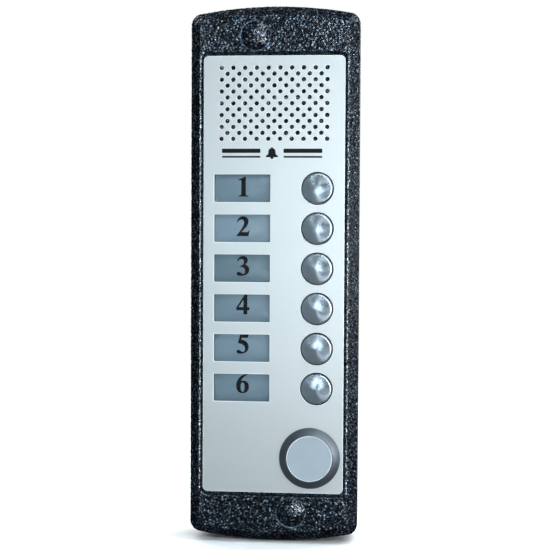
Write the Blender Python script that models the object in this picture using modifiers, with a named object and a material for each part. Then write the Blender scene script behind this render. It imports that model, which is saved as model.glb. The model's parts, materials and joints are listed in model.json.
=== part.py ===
"""Door intercom entry panel: speaker grille, six name windows with sprung call buttons, and a key reader.

The panel is modelled lying face up: local X runs across it, local Y runs up it, and local Z is the height
above the wall. One empty stands it upright, so that +Z is up, the wall lies at y = 0 and the front faces -Y.
The origin is the centre of the wall face.
"""

import math

import bmesh
import bpy

MM = 0.001
GAP = 0.3 * MM  # clearance kept between pieces that touch
PAST = 1.0 * MM  # how far a cutter runs past the face it cuts through
SHARP_ANGLE = math.radians(35)

# Housing: driving dimensions
HOUSING_WIDTH = 68.0 * MM
HOUSING_HEIGHT = 214.6 * MM
HOUSING_DEPTH = 24.0 * MM
END_BOW_RADIUS = 170.0 * MM
CORNER_RADIUS = 4.6 * MM
RIM_SLOPE = 4.0 * MM
DRAFT_INSET = 0.9 * MM  # how far the walls lean in at the back, so that the casting leaves its die
HOUSING_WALL = 4.0 * MM
LEDGE_TOP = 21.0 * MM
LEDGE_UNDERSIDE = 19.0 * MM
POCKET_GAP = 0.9 * MM  # visible black gap round the front plate
POCKET_END_GAP = 1.35 * MM
LEDGE_OPENING = (54.0 * MM, 173.0 * MM)  # window inside the ledge that the plate rests on
LEDGE_OPENING_RADIUS = 12.0 * MM
REBATE_INSET = 1.7 * MM
REBATE_DEPTH = 2.6 * MM

# Front plate
PLATE_WIDTH = 56.6 * MM
PLATE_HEIGHT = 174.8 * MM
PLATE_RADIUS = 2.0 * MM
PLATE_FACE = 23.6 * MM
PLATE_THICKNESS = 1.5 * MM
PLATE_BACK = PLATE_FACE - PLATE_THICKNESS

# Speaker grille: rows of holes, with every second row shifted by half a pitch
GRILLE_CENTRE = (0.0, 68.5 * MM)
GRILLE_PITCH = 4.7 * MM
GRILLE_ROWS = 13
GRILLE_LONG_ROW = 10
GRILLE_HOLE_RADIUS = 0.85 * MM
GRILLE_HOLE_SIDES = 6

# Call rows: a name window on the left and a button on the right
CALL_COUNT = 6
CALL_TOP = 34.7 * MM
CALL_PITCH = 16.0 * MM
WINDOW_X = -12.7 * MM
WINDOW_OPENING = (22.6 * MM, 11.1 * MM)
WINDOW_CORNER = 0.3 * MM
WINDOW_RECESS = 0.6 * MM
WINDOW_FLANGE_STEP = 1.2 * MM
WINDOW_FLANGE_THICKNESS = 1.2 * MM
CARD_SIZE = (24.0 * MM, 13.0 * MM)
CARD_THICKNESS = 0.3 * MM
CARD_POCKET = (24.8 * MM, 13.8 * MM)
CARD_POCKET_DEPTH = 0.9 * MM
TRAY_WIDTH = 27.2 * MM
TRAY_WALL = 1.2 * MM
TRAY_CORNER = 1.0 * MM

BUTTON_X = 17.5 * MM
BUTTON_HOLE_RADIUS = 6.55 * MM
BUTTON_RADIUS = 6.25 * MM
BUTTON_FLANGE_RADIUS = 7.7 * MM
BUTTON_FLANGE_THICKNESS = 1.0 * MM
BUTTON_CROWN = 24.9 * MM
BUTTON_SHOULDER = 24.2 * MM
BUTTON_EDGE = 0.45 * MM
BUTTON_STEM_RADIUS = 1.6 * MM

SWITCH_SIDE = 6.2 * MM
SWITCH_HEIGHT = 3.5 * MM
SWITCH_WELL_RADIUS = 2.0 * MM
SWITCH_WELL_FLOOR = 1.7 * MM

SPRING_WIRE_RADIUS = 0.25 * MM
SPRING_RADIUS = 2.5 * MM
SPRING_TURNS = 3
SPRING_POINTS_PER_TURN = 8

# Key reader
READER_CENTRE = (14.95 * MM, -73.15 * MM)
READER_HOLE_RADIUS = 9.5 * MM
READER_BARREL_RADIUS = 9.2 * MM
READER_BARREL_BORE = 7.8 * MM
READER_BARREL_END = 15.0 * MM
READER_FLANGE_RADIUS = 12.2 * MM
READER_CREST_RADIUS = 9.7 * MM
READER_RIM_HEIGHT = 24.3 * MM
READER_CREST_HEIGHT = 26.0 * MM
READER_SEAT_HEIGHT = 24.6 * MM
READER_DISC_RADIUS = 9.05 * MM
READER_DISC_FACE = 25.7 * MM
READER_PLUG_END = 21.5 * MM
READER_COIL = (4.0 * MM, 7.3 * MM)  # inner and outer radius
READER_COIL_SPAN = (16.5 * MM, 21.0 * MM)
READER_NUT_RADIUS = 11.0 * MM
READER_NUT_HEIGHT = 2.5 * MM

# Domed caps and the fixing screws under them; the bottom pair is the top pair turned half a turn
FIXING_X = -7.5 * MM
FIXING_Y = 95.3 * MM
CAP_SEAT_RADIUS = 6.2 * MM
CAP_SEAT_DEPTH = 0.8 * MM
CAP_RADIUS = 5.8 * MM
CAP_EDGE = 0.5 * MM
CAP_HEIGHT = 2.6 * MM
CAP_STEM_RADIUS = 4.0 * MM
CAP_STEM_END = 17.0 * MM
FIXING_BORE_RADIUS = 4.3 * MM
FIXING_SEAT = 10.0 * MM
FIXING_HOLE_RADIUS = 2.4 * MM
FIXING_BOSS_RADIUS = 6.5 * MM
FIXING_BOSS_END = 7.0 * MM
SCREW_HEAD_RADIUS = 3.7 * MM
SCREW_HEAD_HEIGHT = 3.2 * MM
SCREW_SHANK_RADIUS = 2.0 * MM
SCREW_TIP = 2.4 * MM
SCREW_SOCKET_RADIUS = 1.6 * MM
SCREW_SOCKET_DEPTH = 1.8 * MM

# Plate screws: from behind the board, through a sleeve on the ledge, into a bush on the back of the plate
PLATE_SCREW_X = 25.3 * MM
PLATE_SCREW_Y = 84.9 * MM
BUSH_RADIUS = 1.75 * MM
BUSH_END = 20.3 * MM
PLATE_SCREW_RADIUS = 0.9 * MM
PLATE_SCREW_TIP = 21.6 * MM
PLATE_SCREW_HOLE_RADIUS = PLATE_SCREW_RADIUS + GAP
PLATE_SCREW_HEAD_RADIUS = 1.9 * MM
PLATE_SCREW_HEAD_HEIGHT = 1.4 * MM
PLATE_SCREW_SOCKET_RADIUS = 0.8 * MM
PLATE_SCREW_SOCKET_DEPTH = 0.7 * MM
SLEEVE_RADIUS = 3.0 * MM

# Circuit board and what is soldered to it
BOARD_SIZE = (57.0 * MM, 175.6 * MM)
BOARD_FACE = 11.6 * MM
BOARD_THICKNESS = 1.6 * MM
BOARD_BACK = BOARD_FACE - BOARD_THICKNESS
TERMINAL_CENTRE = (0.0, 20.0 * MM)
TERMINAL_SIZE = (21.0 * MM, 8.2 * MM, 7.0 * MM)
TERMINAL_WAYS = 4
CHIP_CENTRE = (-8.0 * MM, -30.0 * MM)
CHIP_SIZE = (10.0 * MM, 10.0 * MM, 1.6 * MM)
CHIP_BEVEL = 0.25 * MM
TERMINAL_WELL_RADIUS = 1.6 * MM
TERMINAL_WELL_DEPTH = 3.0 * MM

# Wall plate
WALL_PLATE_INSET = 2.0 * MM
WALL_PLATE_THICKNESS = 1.5 * MM
WALL_HOLE_X = 20.0 * MM
WALL_HOLE_Y = 70.0 * MM
WALL_HOLE_RADIUS = 2.6 * MM
STANDOFF_RADIUS = 4.2 * MM
STANDOFF_BORE = 2.3 * MM
STANDOFF_TOP = FIXING_BOSS_END - GAP
INLET_Y = 42.0 * MM
INLET_RADIUS = 6.0 * MM
GROMMET_BORE = 3.6 * MM
GROMMET_FLANGE_RADIUS = 8.0 * MM
GROMMET_TOP = 3.4 * MM
GROMMET_EDGE = 0.5 * MM

# Speaker and microphone
FILM_SIZE = (46.0 * MM, 33.0 * MM)
FILM_CORNER = 4.0 * MM
FILM_THICKNESS = 0.3 * MM
SPEAKER_RADIUS = 15.0 * MM
SPEAKER_GASKET_BORE = 12.8 * MM
SPEAKER_GASKET_THICKNESS = 0.5 * MM
BASKET_DEPTH = 4.8 * MM
BASKET_BACK_RADIUS = 7.0 * MM
BASKET_SHEET = 0.7 * MM
CONE_RADIUS = 12.2 * MM
CONE_SHEET = 0.45 * MM
MAGNET_RADIUS = 6.8 * MM
MAGNET_HEIGHT = 2.6 * MM
MICROPHONE_CENTRE = (-20.0 * MM, 57.0 * MM)
BOOT_RADIUS = 4.5 * MM
BOOT_BORE = 3.3 * MM
BOOT_HEIGHT = 5.0 * MM
BOOT_FLOOR = 0.9 * MM
CAPSULE_RADIUS = 3.0 * MM
CAPSULE_HEIGHT = 3.2 * MM

PANEL = bpy.data.collections.new("door_intercom_panel")
CUTTERS = bpy.data.collections.new("cutters")


# ---------------------------------------------------------------- scene and materials


def clear_scene():
    """Removes whatever the file holds and adds the two collections."""
    for obj in list(bpy.data.objects):
        bpy.data.objects.remove(obj, do_unlink=True)
    bpy.context.scene.collection.children.link(PANEL)
    bpy.context.scene.collection.children.link(CUTTERS)


def add_stand():
    """The empty that turns the face-up panel upright."""
    stand = bpy.data.objects.new("panel_upright", None)
    stand.rotation_euler = (math.radians(90), 0, 0)
    PANEL.objects.link(stand)
    return stand


def make_material(name, colour, roughness, metallic=0.0, alpha=1.0):
    """A plain Principled material."""
    material = bpy.data.materials.new(name)
    material.use_nodes = True
    shader = material.node_tree.nodes["Principled BSDF"]
    shader.inputs["Base Color"].default_value = (*colour, 1)
    shader.inputs["Roughness"].default_value = roughness
    shader.inputs["Metallic"].default_value = metallic
    shader.inputs["Alpha"].default_value = alpha
    return material


clear_scene()
STAND = add_stand()

HAMMERED_PAINT = make_material("hammered_paint", (0.035, 0.04, 0.05), 0.35, 0.5)
SATIN_SILVER = make_material("satin_silver", (0.72, 0.77, 0.79), 0.35, 0.7)
TURNED_STEEL = make_material("turned_steel", (0.55, 0.6, 0.63), 0.25, 1.0)
RING_STEEL = make_material("ring_steel", (0.3, 0.33, 0.36), 0.3, 1.0)
READER_PLASTIC = make_material("reader_plastic", (0.42, 0.5, 0.56), 0.5)
CLEAR_ACRYLIC = make_material("clear_acrylic", (0.8, 0.88, 0.92), 0.08, 0.0, 0.35)
LABEL_PAPER = make_material("label_paper", (0.3, 0.38, 0.44), 0.7)
WHITE_PLASTIC = make_material("white_plastic", (0.75, 0.76, 0.76), 0.5)
BLACK_PLASTIC = make_material("black_plastic", (0.03, 0.03, 0.03), 0.45)
BLACK_RUBBER = make_material("black_rubber", (0.02, 0.02, 0.02), 0.8)
ZINC_STEEL = make_material("zinc_steel", (0.6, 0.62, 0.64), 0.35, 1.0)
SPRING_STEEL = make_material("spring_steel", (0.5, 0.5, 0.52), 0.3, 1.0)
POLYESTER_FILM = make_material("polyester_film", (0.7, 0.75, 0.8), 0.15, 0.0, 0.5)
BLACK_PAPER = make_material("cone_paper", (0.05, 0.05, 0.05), 0.8)
DARK_FERRITE = make_material("dark_ferrite", (0.06, 0.06, 0.07), 0.5, 0.3)
BOARD_GREEN = make_material("board_green", (0.02, 0.16, 0.07), 0.45)
COPPER_WIRE = make_material("copper_wire", (0.72, 0.35, 0.18), 0.35, 1.0)
TERMINAL_GREEN = make_material("terminal_green", (0.08, 0.32, 0.14), 0.5)


# ---------------------------------------------------------------- making objects


def place(obj, material, location, collection):
    """Puts an object in its collection, on the stand and at its place."""
    if material:
        obj.data.materials.clear()
        obj.data.materials.append(material)
    obj.parent = STAND
    obj.location = location
    collection.objects.link(obj)
    if collection is CUTTERS:
        obj.hide_render = True
        obj.display_type = "WIRE"
    return obj


def node(name, mesh, material, location=(0, 0, 0)):
    """One sub-part of the panel. Its round faces are shaded smooth and its real edges stay sharp."""
    if isinstance(mesh, bpy.types.Mesh) and mesh.polygons:
        mesh.shade_smooth()
        mesh.set_sharp_from_angle(angle=SHARP_ANGLE)
    return place(bpy.data.objects.new(name, mesh), material, location, PANEL)


def cutter(name, mesh, location=(0, 0, 0)):
    """A helper that cuts or joins another object and isn't part of the panel."""
    return place(bpy.data.objects.new(name, mesh), None, location, CUTTERS)


def apply_boolean(obj, tool, operation):
    """Adds one Boolean modifier, kept on the object."""
    modifier = obj.modifiers.new(f"{operation.lower()}_{tool.name}", "BOOLEAN")
    modifier.object = tool
    modifier.operation = operation
    modifier.solver = "EXACT"


def cut(obj, tool):
    """Takes the tool's shape out of the object."""
    apply_boolean(obj, tool, "DIFFERENCE")


def join(obj, tool):
    """Adds the tool's shape to the object."""
    apply_boolean(obj, tool, "UNION")


def evaluated_mesh(obj, name):
    """A plain mesh of the object as its modifiers leave it."""
    graph = bpy.context.evaluated_depsgraph_get()
    mesh = bpy.data.meshes.new_from_object(obj.evaluated_get(graph))
    mesh.name = name
    return mesh


def prism_mesh(name, outlines, bottom, top):
    """A flat outline, with any holes in it, extruded from one height to another."""
    curve = bpy.data.curves.new(name, "CURVE")
    curve.dimensions = "2D"
    curve.fill_mode = "BOTH"
    curve.extrude = (top - bottom) / 2
    for points in outlines:
        spline = curve.splines.new("POLY")
        spline.points.add(len(points) - 1)
        for point, (x, y) in zip(spline.points, points):
            point.co = (x, y, 0, 1)
        spline.use_cyclic_u = True
    flat = bpy.data.objects.new(name, curve)
    bpy.context.scene.collection.objects.link(flat)
    bpy.context.view_layer.update()
    mesh = evaluated_mesh(flat, name)
    bpy.data.objects.remove(flat)
    work = bmesh.new()
    work.from_mesh(mesh)
    bmesh.ops.remove_doubles(work, verts=work.verts, dist=0.00001)
    bmesh.ops.translate(work, verts=work.verts, vec=(0, 0, (top + bottom) / 2))
    work.to_mesh(mesh)
    work.free()
    return mesh


def turned_object(name, profile, steps, material, location=(0, 0, 0), closed=False):
    """A turned shape. The profile's (radius, height) points run down its outer side."""
    mesh = bpy.data.meshes.new(name)
    count = len(profile)
    edges = [(i, i + 1) for i in range(count - 1)]
    if closed:
        edges.append((count - 1, 0))
    mesh.from_pydata([(radius, 0, height) for radius, height in profile], edges, [])
    obj = node(name, mesh, material, location)
    screw = obj.modifiers.new("turn", "SCREW")
    screw.axis = "Z"
    screw.angle = math.tau
    screw.steps = steps
    screw.render_steps = steps
    screw.use_merge_vertices = True
    screw.merge_threshold = 0.00001
    screw.use_smooth_shade = True
    return obj


def box_mesh(name, size, bottom):
    """A box that stands on a height, centred on its object's origin."""
    mesh = bpy.data.meshes.new(name)
    work = bmesh.new()
    bmesh.ops.create_cube(work, size=1)
    bmesh.ops.scale(work, verts=work.verts, vec=size)
    bmesh.ops.translate(work, verts=work.verts, vec=(0, 0, bottom + size[2] / 2))
    work.to_mesh(mesh)
    work.free()
    return mesh


def cylinder_mesh(name, radius, bottom, top, sides=20):
    """An upright cylinder between two heights."""
    mesh = bpy.data.meshes.new(name)
    work = bmesh.new()
    bmesh.ops.create_cone(
        work, cap_ends=True, segments=sides, radius1=radius, radius2=radius, depth=top - bottom
    )
    bmesh.ops.translate(work, verts=work.verts, vec=(0, 0, (top + bottom) / 2))
    work.to_mesh(mesh)
    work.free()
    return mesh


# ---------------------------------------------------------------- outlines


def arc(centre, radius, start, end, steps):
    """Points of an arc, from one angle to another, in degrees."""
    points = []
    for step in range(steps + 1):
        angle = math.radians(start + (end - start) * step / steps)
        points.append((centre[0] + radius * math.cos(angle), centre[1] + radius * math.sin(angle)))
    return points


def circle(centre, radius, sides):
    """A closed circle of a few sides, without repeating its first point."""
    return arc(centre, radius, 0, 360, sides)[:-1]


def rounded_rectangle(width, height, radius, centre=(0, 0), steps=4):
    """A rectangle with round corners, counter-clockwise from its lower right corner."""
    points = []
    for corner, (side_x, side_y) in enumerate([(1, -1), (1, 1), (-1, 1), (-1, -1)]):
        middle = (centre[0] + side_x * (width / 2 - radius), centre[1] + side_y * (height / 2 - radius))
        start = -90 + 90 * corner
        points += arc(middle, radius, start, start + 90, steps)
    return points


def housing_outline(inset, steps=4, bow_steps=6):
    """The housing's outline, moved inwards: straight sides, round corners and bowed ends."""
    bow = END_BOW_RADIUS - inset
    half_width = HOUSING_WIDTH / 2 - inset
    radius = max(CORNER_RADIUS - inset, 0.5 * MM)
    bow_centre = HOUSING_HEIGHT / 2 - END_BOW_RADIUS
    corner_x = half_width - radius
    corner_y = bow_centre + math.sqrt((bow - radius) ** 2 - corner_x**2)
    bow_angle = math.degrees(math.atan2(corner_y - bow_centre, corner_x))
    top = arc((corner_x, corner_y), radius, 0, bow_angle, steps)
    top += arc((0, bow_centre), bow, bow_angle, 180 - bow_angle, bow_steps)[1:]
    top += arc((-corner_x, corner_y), radius, 180 - bow_angle, 180, steps)[1:]
    return top + [(-x, -y) for x, y in top]


# ---------------------------------------------------------------- repeated places


def call_height(index):
    """Height of a call row, counted from 0 at the top."""
    return CALL_TOP - index * CALL_PITCH


def grille_holes():
    """Centres of the speaker holes, row by row from the bottom."""
    centres = []
    for row in range(GRILLE_ROWS):
        count = GRILLE_LONG_ROW - row % 2
        y = GRILLE_CENTRE[1] + (row - (GRILLE_ROWS - 1) / 2) * GRILLE_PITCH / 2
        for column in range(count):
            x = GRILLE_CENTRE[0] + (column - (count - 1) / 2) * GRILLE_PITCH
            centres.append((x, y))
    return centres


def fixing_places():
    """Centres of the two fixings, the top one first."""
    return {"top": (FIXING_X, FIXING_Y), "bottom": (-FIXING_X, -FIXING_Y)}


def plate_screw_places():
    """Centres of the four plate screws."""
    return [(side_x * PLATE_SCREW_X, side_y * PLATE_SCREW_Y) for side_y in (1, -1) for side_x in (-1, 1)]


# ---------------------------------------------------------------- housing and wall plate


def sloped_block_mesh():
    """The housing's outer body, with its sloped rim and walls that lean in towards the wall."""
    outline = housing_outline(0)
    back_outline = housing_outline(DRAFT_INSET)
    mesh = prism_mesh("housing", [outline], 0, HOUSING_DEPTH)
    work = bmesh.new()
    work.from_mesh(mesh)
    bmesh.ops.dissolve_limit(work, angle_limit=0.001, verts=work.verts, edges=work.edges)
    top_edges = []
    for edge in work.edges:
        on_top = all(abs(vert.co.z - HOUSING_DEPTH) < 0.01 * MM for vert in edge.verts)
        if on_top and any(face.normal.z < 0.5 for face in edge.link_faces):
            top_edges.append(edge)
    bmesh.ops.bevel(work, geom=top_edges, offset=RIM_SLOPE, segments=1, affect="EDGES")
    for vert in work.verts:
        if vert.co.z < 0.01 * MM:
            distances = [math.dist(vert.co.xy, point) for point in outline]
            vert.co.xy = back_outline[distances.index(min(distances))]
    work.to_mesh(mesh)
    work.free()
    return mesh


def add_housing():
    """Die-cast body, open at the back, with the window that the front plate sits in."""
    housing = node("housing", sloped_block_mesh(), HAMMERED_PAINT)
    past_back = -PAST
    past_front = HOUSING_DEPTH + PAST
    cavity = prism_mesh("housing_cavity", [housing_outline(HOUSING_WALL)], past_back, LEDGE_UNDERSIDE)
    cut(housing, cutter("housing_cavity", cavity))
    into_ledge = LEDGE_UNDERSIDE + GAP
    for place_name, (x, y) in fixing_places().items():
        boss = cylinder_mesh("fixing_boss", FIXING_BOSS_RADIUS, FIXING_BOSS_END, into_ledge, 16)
        join(housing, cutter(f"{place_name}_fixing_boss", boss, (x, y, 0)))
    for number, (x, y) in enumerate(plate_screw_places(), 1):
        sleeve = cylinder_mesh("screw_sleeve", SLEEVE_RADIUS, BOARD_FACE + GAP, into_ledge, 12)
        join(housing, cutter(f"screw_sleeve_{number}", sleeve, (x, y, 0)))
    pocket_outline = rounded_rectangle(
        PLATE_WIDTH + 2 * POCKET_GAP, PLATE_HEIGHT + 2 * POCKET_END_GAP, PLATE_RADIUS + POCKET_GAP
    )
    pocket = prism_mesh("plate_pocket", [pocket_outline], LEDGE_TOP, past_front)
    cut(housing, cutter("plate_pocket", pocket))
    opening_outline = rounded_rectangle(*LEDGE_OPENING, LEDGE_OPENING_RADIUS, steps=6)
    opening = prism_mesh("ledge_opening", [opening_outline], LEDGE_UNDERSIDE - PAST, past_front)
    cut(housing, cutter("ledge_opening", opening))
    rebate = prism_mesh("back_rebate", [housing_outline(REBATE_INSET)], past_back, REBATE_DEPTH)
    cut(housing, cutter("back_rebate", rebate))
    for place_name, (x, y) in fixing_places().items():
        seat = cylinder_mesh("cap_seat", CAP_SEAT_RADIUS, HOUSING_DEPTH - CAP_SEAT_DEPTH, past_front, 24)
        cut(housing, cutter(f"{place_name}_cap_seat", seat, (x, y, 0)))
        bore = cylinder_mesh("fixing_bore", FIXING_BORE_RADIUS, FIXING_SEAT, past_front, 20)
        cut(housing, cutter(f"{place_name}_fixing_bore", bore, (x, y, 0)))
        hole_bottom = FIXING_BOSS_END - PAST
        hole = cylinder_mesh("fixing_hole", FIXING_HOLE_RADIUS, hole_bottom, FIXING_SEAT + PAST, 16)
        cut(housing, cutter(f"{place_name}_fixing_hole", hole, (x, y, 0)))
    for number, (x, y) in enumerate(plate_screw_places(), 1):
        recess = cylinder_mesh("bush_recess", BUSH_RADIUS + GAP, BUSH_END - GAP, past_front, 12)
        cut(housing, cutter(f"bush_recess_{number}", recess, (x, y, 0)))
        hole = cylinder_mesh("plate_screw_hole", PLATE_SCREW_HOLE_RADIUS, BOARD_FACE - PAST, BUSH_END, 10)
        cut(housing, cutter(f"plate_screw_hole_{number}", hole, (x, y, 0)))


def add_wall_plate():
    """Steel back plate that stays on the wall, with a threaded standoff for each fixing screw."""
    outlines = [housing_outline(WALL_PLATE_INSET), circle((0, INLET_Y), INLET_RADIUS, 16)]
    for side_x in (-1, 1):
        for side_y in (-1, 1):
            outlines.append(circle((side_x * WALL_HOLE_X, side_y * WALL_HOLE_Y), WALL_HOLE_RADIUS, 10))
    wall_plate = node("wall_plate", prism_mesh("wall_plate", outlines, 0, WALL_PLATE_THICKNESS), ZINC_STEEL)
    for place_name, (x, y) in fixing_places().items():
        standoff = cylinder_mesh("standoff", STANDOFF_RADIUS, WALL_PLATE_THICKNESS / 2, STANDOFF_TOP, 16)
        join(wall_plate, cutter(f"{place_name}_standoff", standoff, (x, y, 0)))
        thread_top = STANDOFF_TOP + PAST
        thread = cylinder_mesh("standoff_thread", STANDOFF_BORE, WALL_PLATE_THICKNESS, thread_top, 12)
        cut(wall_plate, cutter(f"{place_name}_standoff_thread", thread, (x, y, 0)))


def add_wall_gasket():
    """Seal between the wall plate and the housing's shoulder."""
    outlines = [housing_outline(WALL_PLATE_INSET + GAP), housing_outline(HOUSING_WALL - GAP)]
    bottom = WALL_PLATE_THICKNESS + GAP
    node("wall_gasket", prism_mesh("wall_gasket", outlines, bottom, REBATE_DEPTH - GAP), BLACK_RUBBER)


def add_cable_grommet():
    """Rubber grommet in the cable inlet, flush with the wall side."""
    flange_bottom = WALL_PLATE_THICKNESS + GAP
    profile = [
        (GROMMET_BORE, GROMMET_TOP),
        (GROMMET_FLANGE_RADIUS - GROMMET_EDGE, GROMMET_TOP),
        (GROMMET_FLANGE_RADIUS, GROMMET_TOP - GROMMET_EDGE),
        (GROMMET_FLANGE_RADIUS, flange_bottom),
        (INLET_RADIUS - GAP, flange_bottom),
        (INLET_RADIUS - GAP, GAP),
        (GROMMET_BORE, GAP),
    ]
    turned_object("cable_grommet", profile, 16, BLACK_RUBBER, (0, INLET_Y, 0), closed=True)


def add_fixings():
    """The domed caps and the screws under them."""
    cap_base = HOUSING_DEPTH - CAP_SEAT_DEPTH + GAP
    for place_name, (x, y) in fixing_places().items():
        profile = dome_profile(CAP_RADIUS, cap_base + CAP_EDGE, cap_base + CAP_HEIGHT, 5)
        profile += [
            (CAP_RADIUS, cap_base),
            (CAP_STEM_RADIUS, cap_base),
            (CAP_STEM_RADIUS, CAP_STEM_END),
            (0, CAP_STEM_END),
        ]
        turned_object(f"{place_name}_cap", profile, 20, HAMMERED_PAINT, (x, y, 0))
        head_bottom = FIXING_SEAT + GAP
        head_top = head_bottom + SCREW_HEAD_HEIGHT
        profile = [
            (0, head_top - SCREW_SOCKET_DEPTH),
            (SCREW_SOCKET_RADIUS, head_top - SCREW_SOCKET_DEPTH),
            (SCREW_SOCKET_RADIUS, head_top),
            (SCREW_HEAD_RADIUS, head_top),
            (SCREW_HEAD_RADIUS, head_bottom),
            (SCREW_SHANK_RADIUS, head_bottom),
            (SCREW_SHANK_RADIUS, SCREW_TIP),
            (0, SCREW_TIP),
        ]
        turned_object(f"{place_name}_fixing_screw", profile, 16, ZINC_STEEL, (x, y, 0))


def dome_profile(radius, edge_height, crown_height, steps):
    """Profile of a shallow dome, from its crown to its edge, as an arc of one sphere."""
    rise = crown_height - edge_height
    sphere = (radius**2 + rise**2) / (2 * rise)
    points = []
    for step in range(steps + 1):
        across = radius * step / steps
        points.append((across, crown_height - sphere + math.sqrt(sphere**2 - across**2)))
    return points


# ---------------------------------------------------------------- front plate


def add_front_plate():
    """Front sheet with every hole in it and four threaded bushes on its back."""
    outlines = [rounded_rectangle(PLATE_WIDTH, PLATE_HEIGHT, PLATE_RADIUS)]
    for index in range(CALL_COUNT):
        y = call_height(index)
        outlines.append(rounded_rectangle(*WINDOW_OPENING, WINDOW_CORNER, (WINDOW_X, y), 1))
        outlines.append(circle((BUTTON_X, y), BUTTON_HOLE_RADIUS, 20))
    outlines.append(circle(READER_CENTRE, READER_HOLE_RADIUS, 24))
    plate = node("front_plate", prism_mesh("front_plate", outlines, PLATE_BACK, PLATE_FACE), SATIN_SILVER)
    into_plate = (PLATE_BACK + PLATE_FACE) / 2
    for number, (x, y) in enumerate(plate_screw_places(), 1):
        bush = cylinder_mesh("bush", BUSH_RADIUS, BUSH_END, into_plate, 12)
        join(plate, cutter(f"bush_{number}", bush, (x, y, 0)))
        thread = cylinder_mesh("bush_thread", PLATE_SCREW_HOLE_RADIUS, BUSH_END - PAST, PLATE_BACK, 10)
        cut(plate, cutter(f"bush_thread_{number}", thread, (x, y, 0)))
    holes = [circle(centre, GRILLE_HOLE_RADIUS, GRILLE_HOLE_SIDES) for centre in grille_holes()]
    grille = prism_mesh("grille_holes", holes, PLATE_BACK - PAST, PLATE_FACE + PAST)
    cut(plate, cutter("grille_holes", grille))


def add_plate_gasket():
    """Seal between the plate and the housing's ledge."""
    outer = rounded_rectangle(PLATE_WIDTH - GAP, PLATE_HEIGHT - GAP, PLATE_RADIUS)
    inner_size = [side + GAP for side in LEDGE_OPENING]
    outlines = [outer, rounded_rectangle(*inner_size, LEDGE_OPENING_RADIUS, steps=6)]
    for x, y in plate_screw_places():
        outlines.append(circle((x, y), BUSH_RADIUS + GAP, 12))
    mesh = prism_mesh("plate_gasket", outlines, LEDGE_TOP + GAP, PLATE_BACK - GAP)
    node("plate_gasket", mesh, BLACK_RUBBER)


def add_plate_screws():
    """Screws that clamp the board and the housing's ledge to the plate's bushes."""
    head_top = BOARD_BACK - GAP
    head_bottom = head_top - PLATE_SCREW_HEAD_HEIGHT
    profile = [
        (0, PLATE_SCREW_TIP),
        (PLATE_SCREW_RADIUS, PLATE_SCREW_TIP),
        (PLATE_SCREW_RADIUS, head_top),
        (PLATE_SCREW_HEAD_RADIUS, head_top),
        (PLATE_SCREW_HEAD_RADIUS, head_bottom),
        (PLATE_SCREW_SOCKET_RADIUS, head_bottom),
        (PLATE_SCREW_SOCKET_RADIUS, head_bottom + PLATE_SCREW_SOCKET_DEPTH),
        (0, head_bottom + PLATE_SCREW_SOCKET_DEPTH),
    ]
    for number, (x, y) in enumerate(plate_screw_places(), 1):
        turned_object(f"plate_screw_{number}", profile, 12, ZINC_STEEL, (x, y, 0))


# ---------------------------------------------------------------- name windows


def stepped_block_mesh(name, flange, boss, bottom, flange_thickness, top):
    """A flanged block: the flange below, the narrower boss above it."""
    mesh = box_mesh(name, (*flange, flange_thickness), bottom)
    work = bmesh.new()
    work.from_mesh(mesh)
    upper = [face for face in work.faces if face.normal.z > 0.5]
    step = (flange[0] - boss[0]) / 2
    bmesh.ops.inset_region(work, faces=upper, thickness=step, use_even_offset=True)
    raised = bmesh.ops.extrude_face_region(work, geom=upper)
    moved = [item for item in raised["geom"] if isinstance(item, bmesh.types.BMVert)]
    bmesh.ops.translate(work, verts=moved, vec=(0, 0, top - bottom - flange_thickness))
    bmesh.ops.delete(work, geom=upper, context="FACES")
    work.to_mesh(mesh)
    work.free()
    return mesh


def add_name_windows():
    """Clear covers and the cards behind them."""
    flange_top = PLATE_BACK - GAP
    flange_bottom = flange_top - WINDOW_FLANGE_THICKNESS
    boss = (WINDOW_OPENING[0] - 2 * GAP, WINDOW_OPENING[1] - 2 * GAP)
    flange = (boss[0] + 2 * WINDOW_FLANGE_STEP, boss[1] + 2 * WINDOW_FLANGE_STEP)
    window_mesh = stepped_block_mesh(
        "name_window", flange, boss, flange_bottom, WINDOW_FLANGE_THICKNESS, PLATE_FACE - WINDOW_RECESS
    )
    card_mesh = box_mesh("name_card", (*CARD_SIZE, CARD_THICKNESS), flange_bottom - 2 * GAP - CARD_THICKNESS)
    for index in range(CALL_COUNT):
        location = (WINDOW_X, call_height(index), 0)
        node(f"name_window_{index + 1}", window_mesh, CLEAR_ACRYLIC, location)
        node(f"name_card_{index + 1}", card_mesh, LABEL_PAPER, location)


def add_label_tray():
    """Light box behind the cards: a pocket for each card, open towards the board."""
    front = PLATE_BACK - GAP - WINDOW_FLANGE_THICKNESS - GAP
    pocket_floor = front - CARD_POCKET_DEPTH
    back = BOARD_FACE + GAP
    middle_y = call_height((CALL_COUNT - 1) / 2)
    height = (CALL_COUNT - 1) * CALL_PITCH + CARD_POCKET[1] + 2 * TRAY_WALL
    outline = rounded_rectangle(TRAY_WIDTH, height, TRAY_CORNER, steps=2)
    body = prism_mesh("label_tray", [outline], back, front)
    tray = node("label_tray", body, WHITE_PLASTIC, (WINDOW_X, middle_y, 0))
    hollow_size = (TRAY_WIDTH - 2 * TRAY_WALL, height - 2 * TRAY_WALL, pocket_floor - back)
    hollow = box_mesh("tray_hollow", hollow_size, back - PAST)
    cut(tray, cutter("tray_hollow", hollow, (WINDOW_X, middle_y, 0)))
    for index in range(CALL_COUNT):
        pocket = box_mesh("card_pocket", (*CARD_POCKET, 2.0 * MM), pocket_floor)
        cut(tray, cutter(f"card_pocket_{index + 1}", pocket, (WINDOW_X, call_height(index), 0)))


# ---------------------------------------------------------------- call buttons


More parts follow.
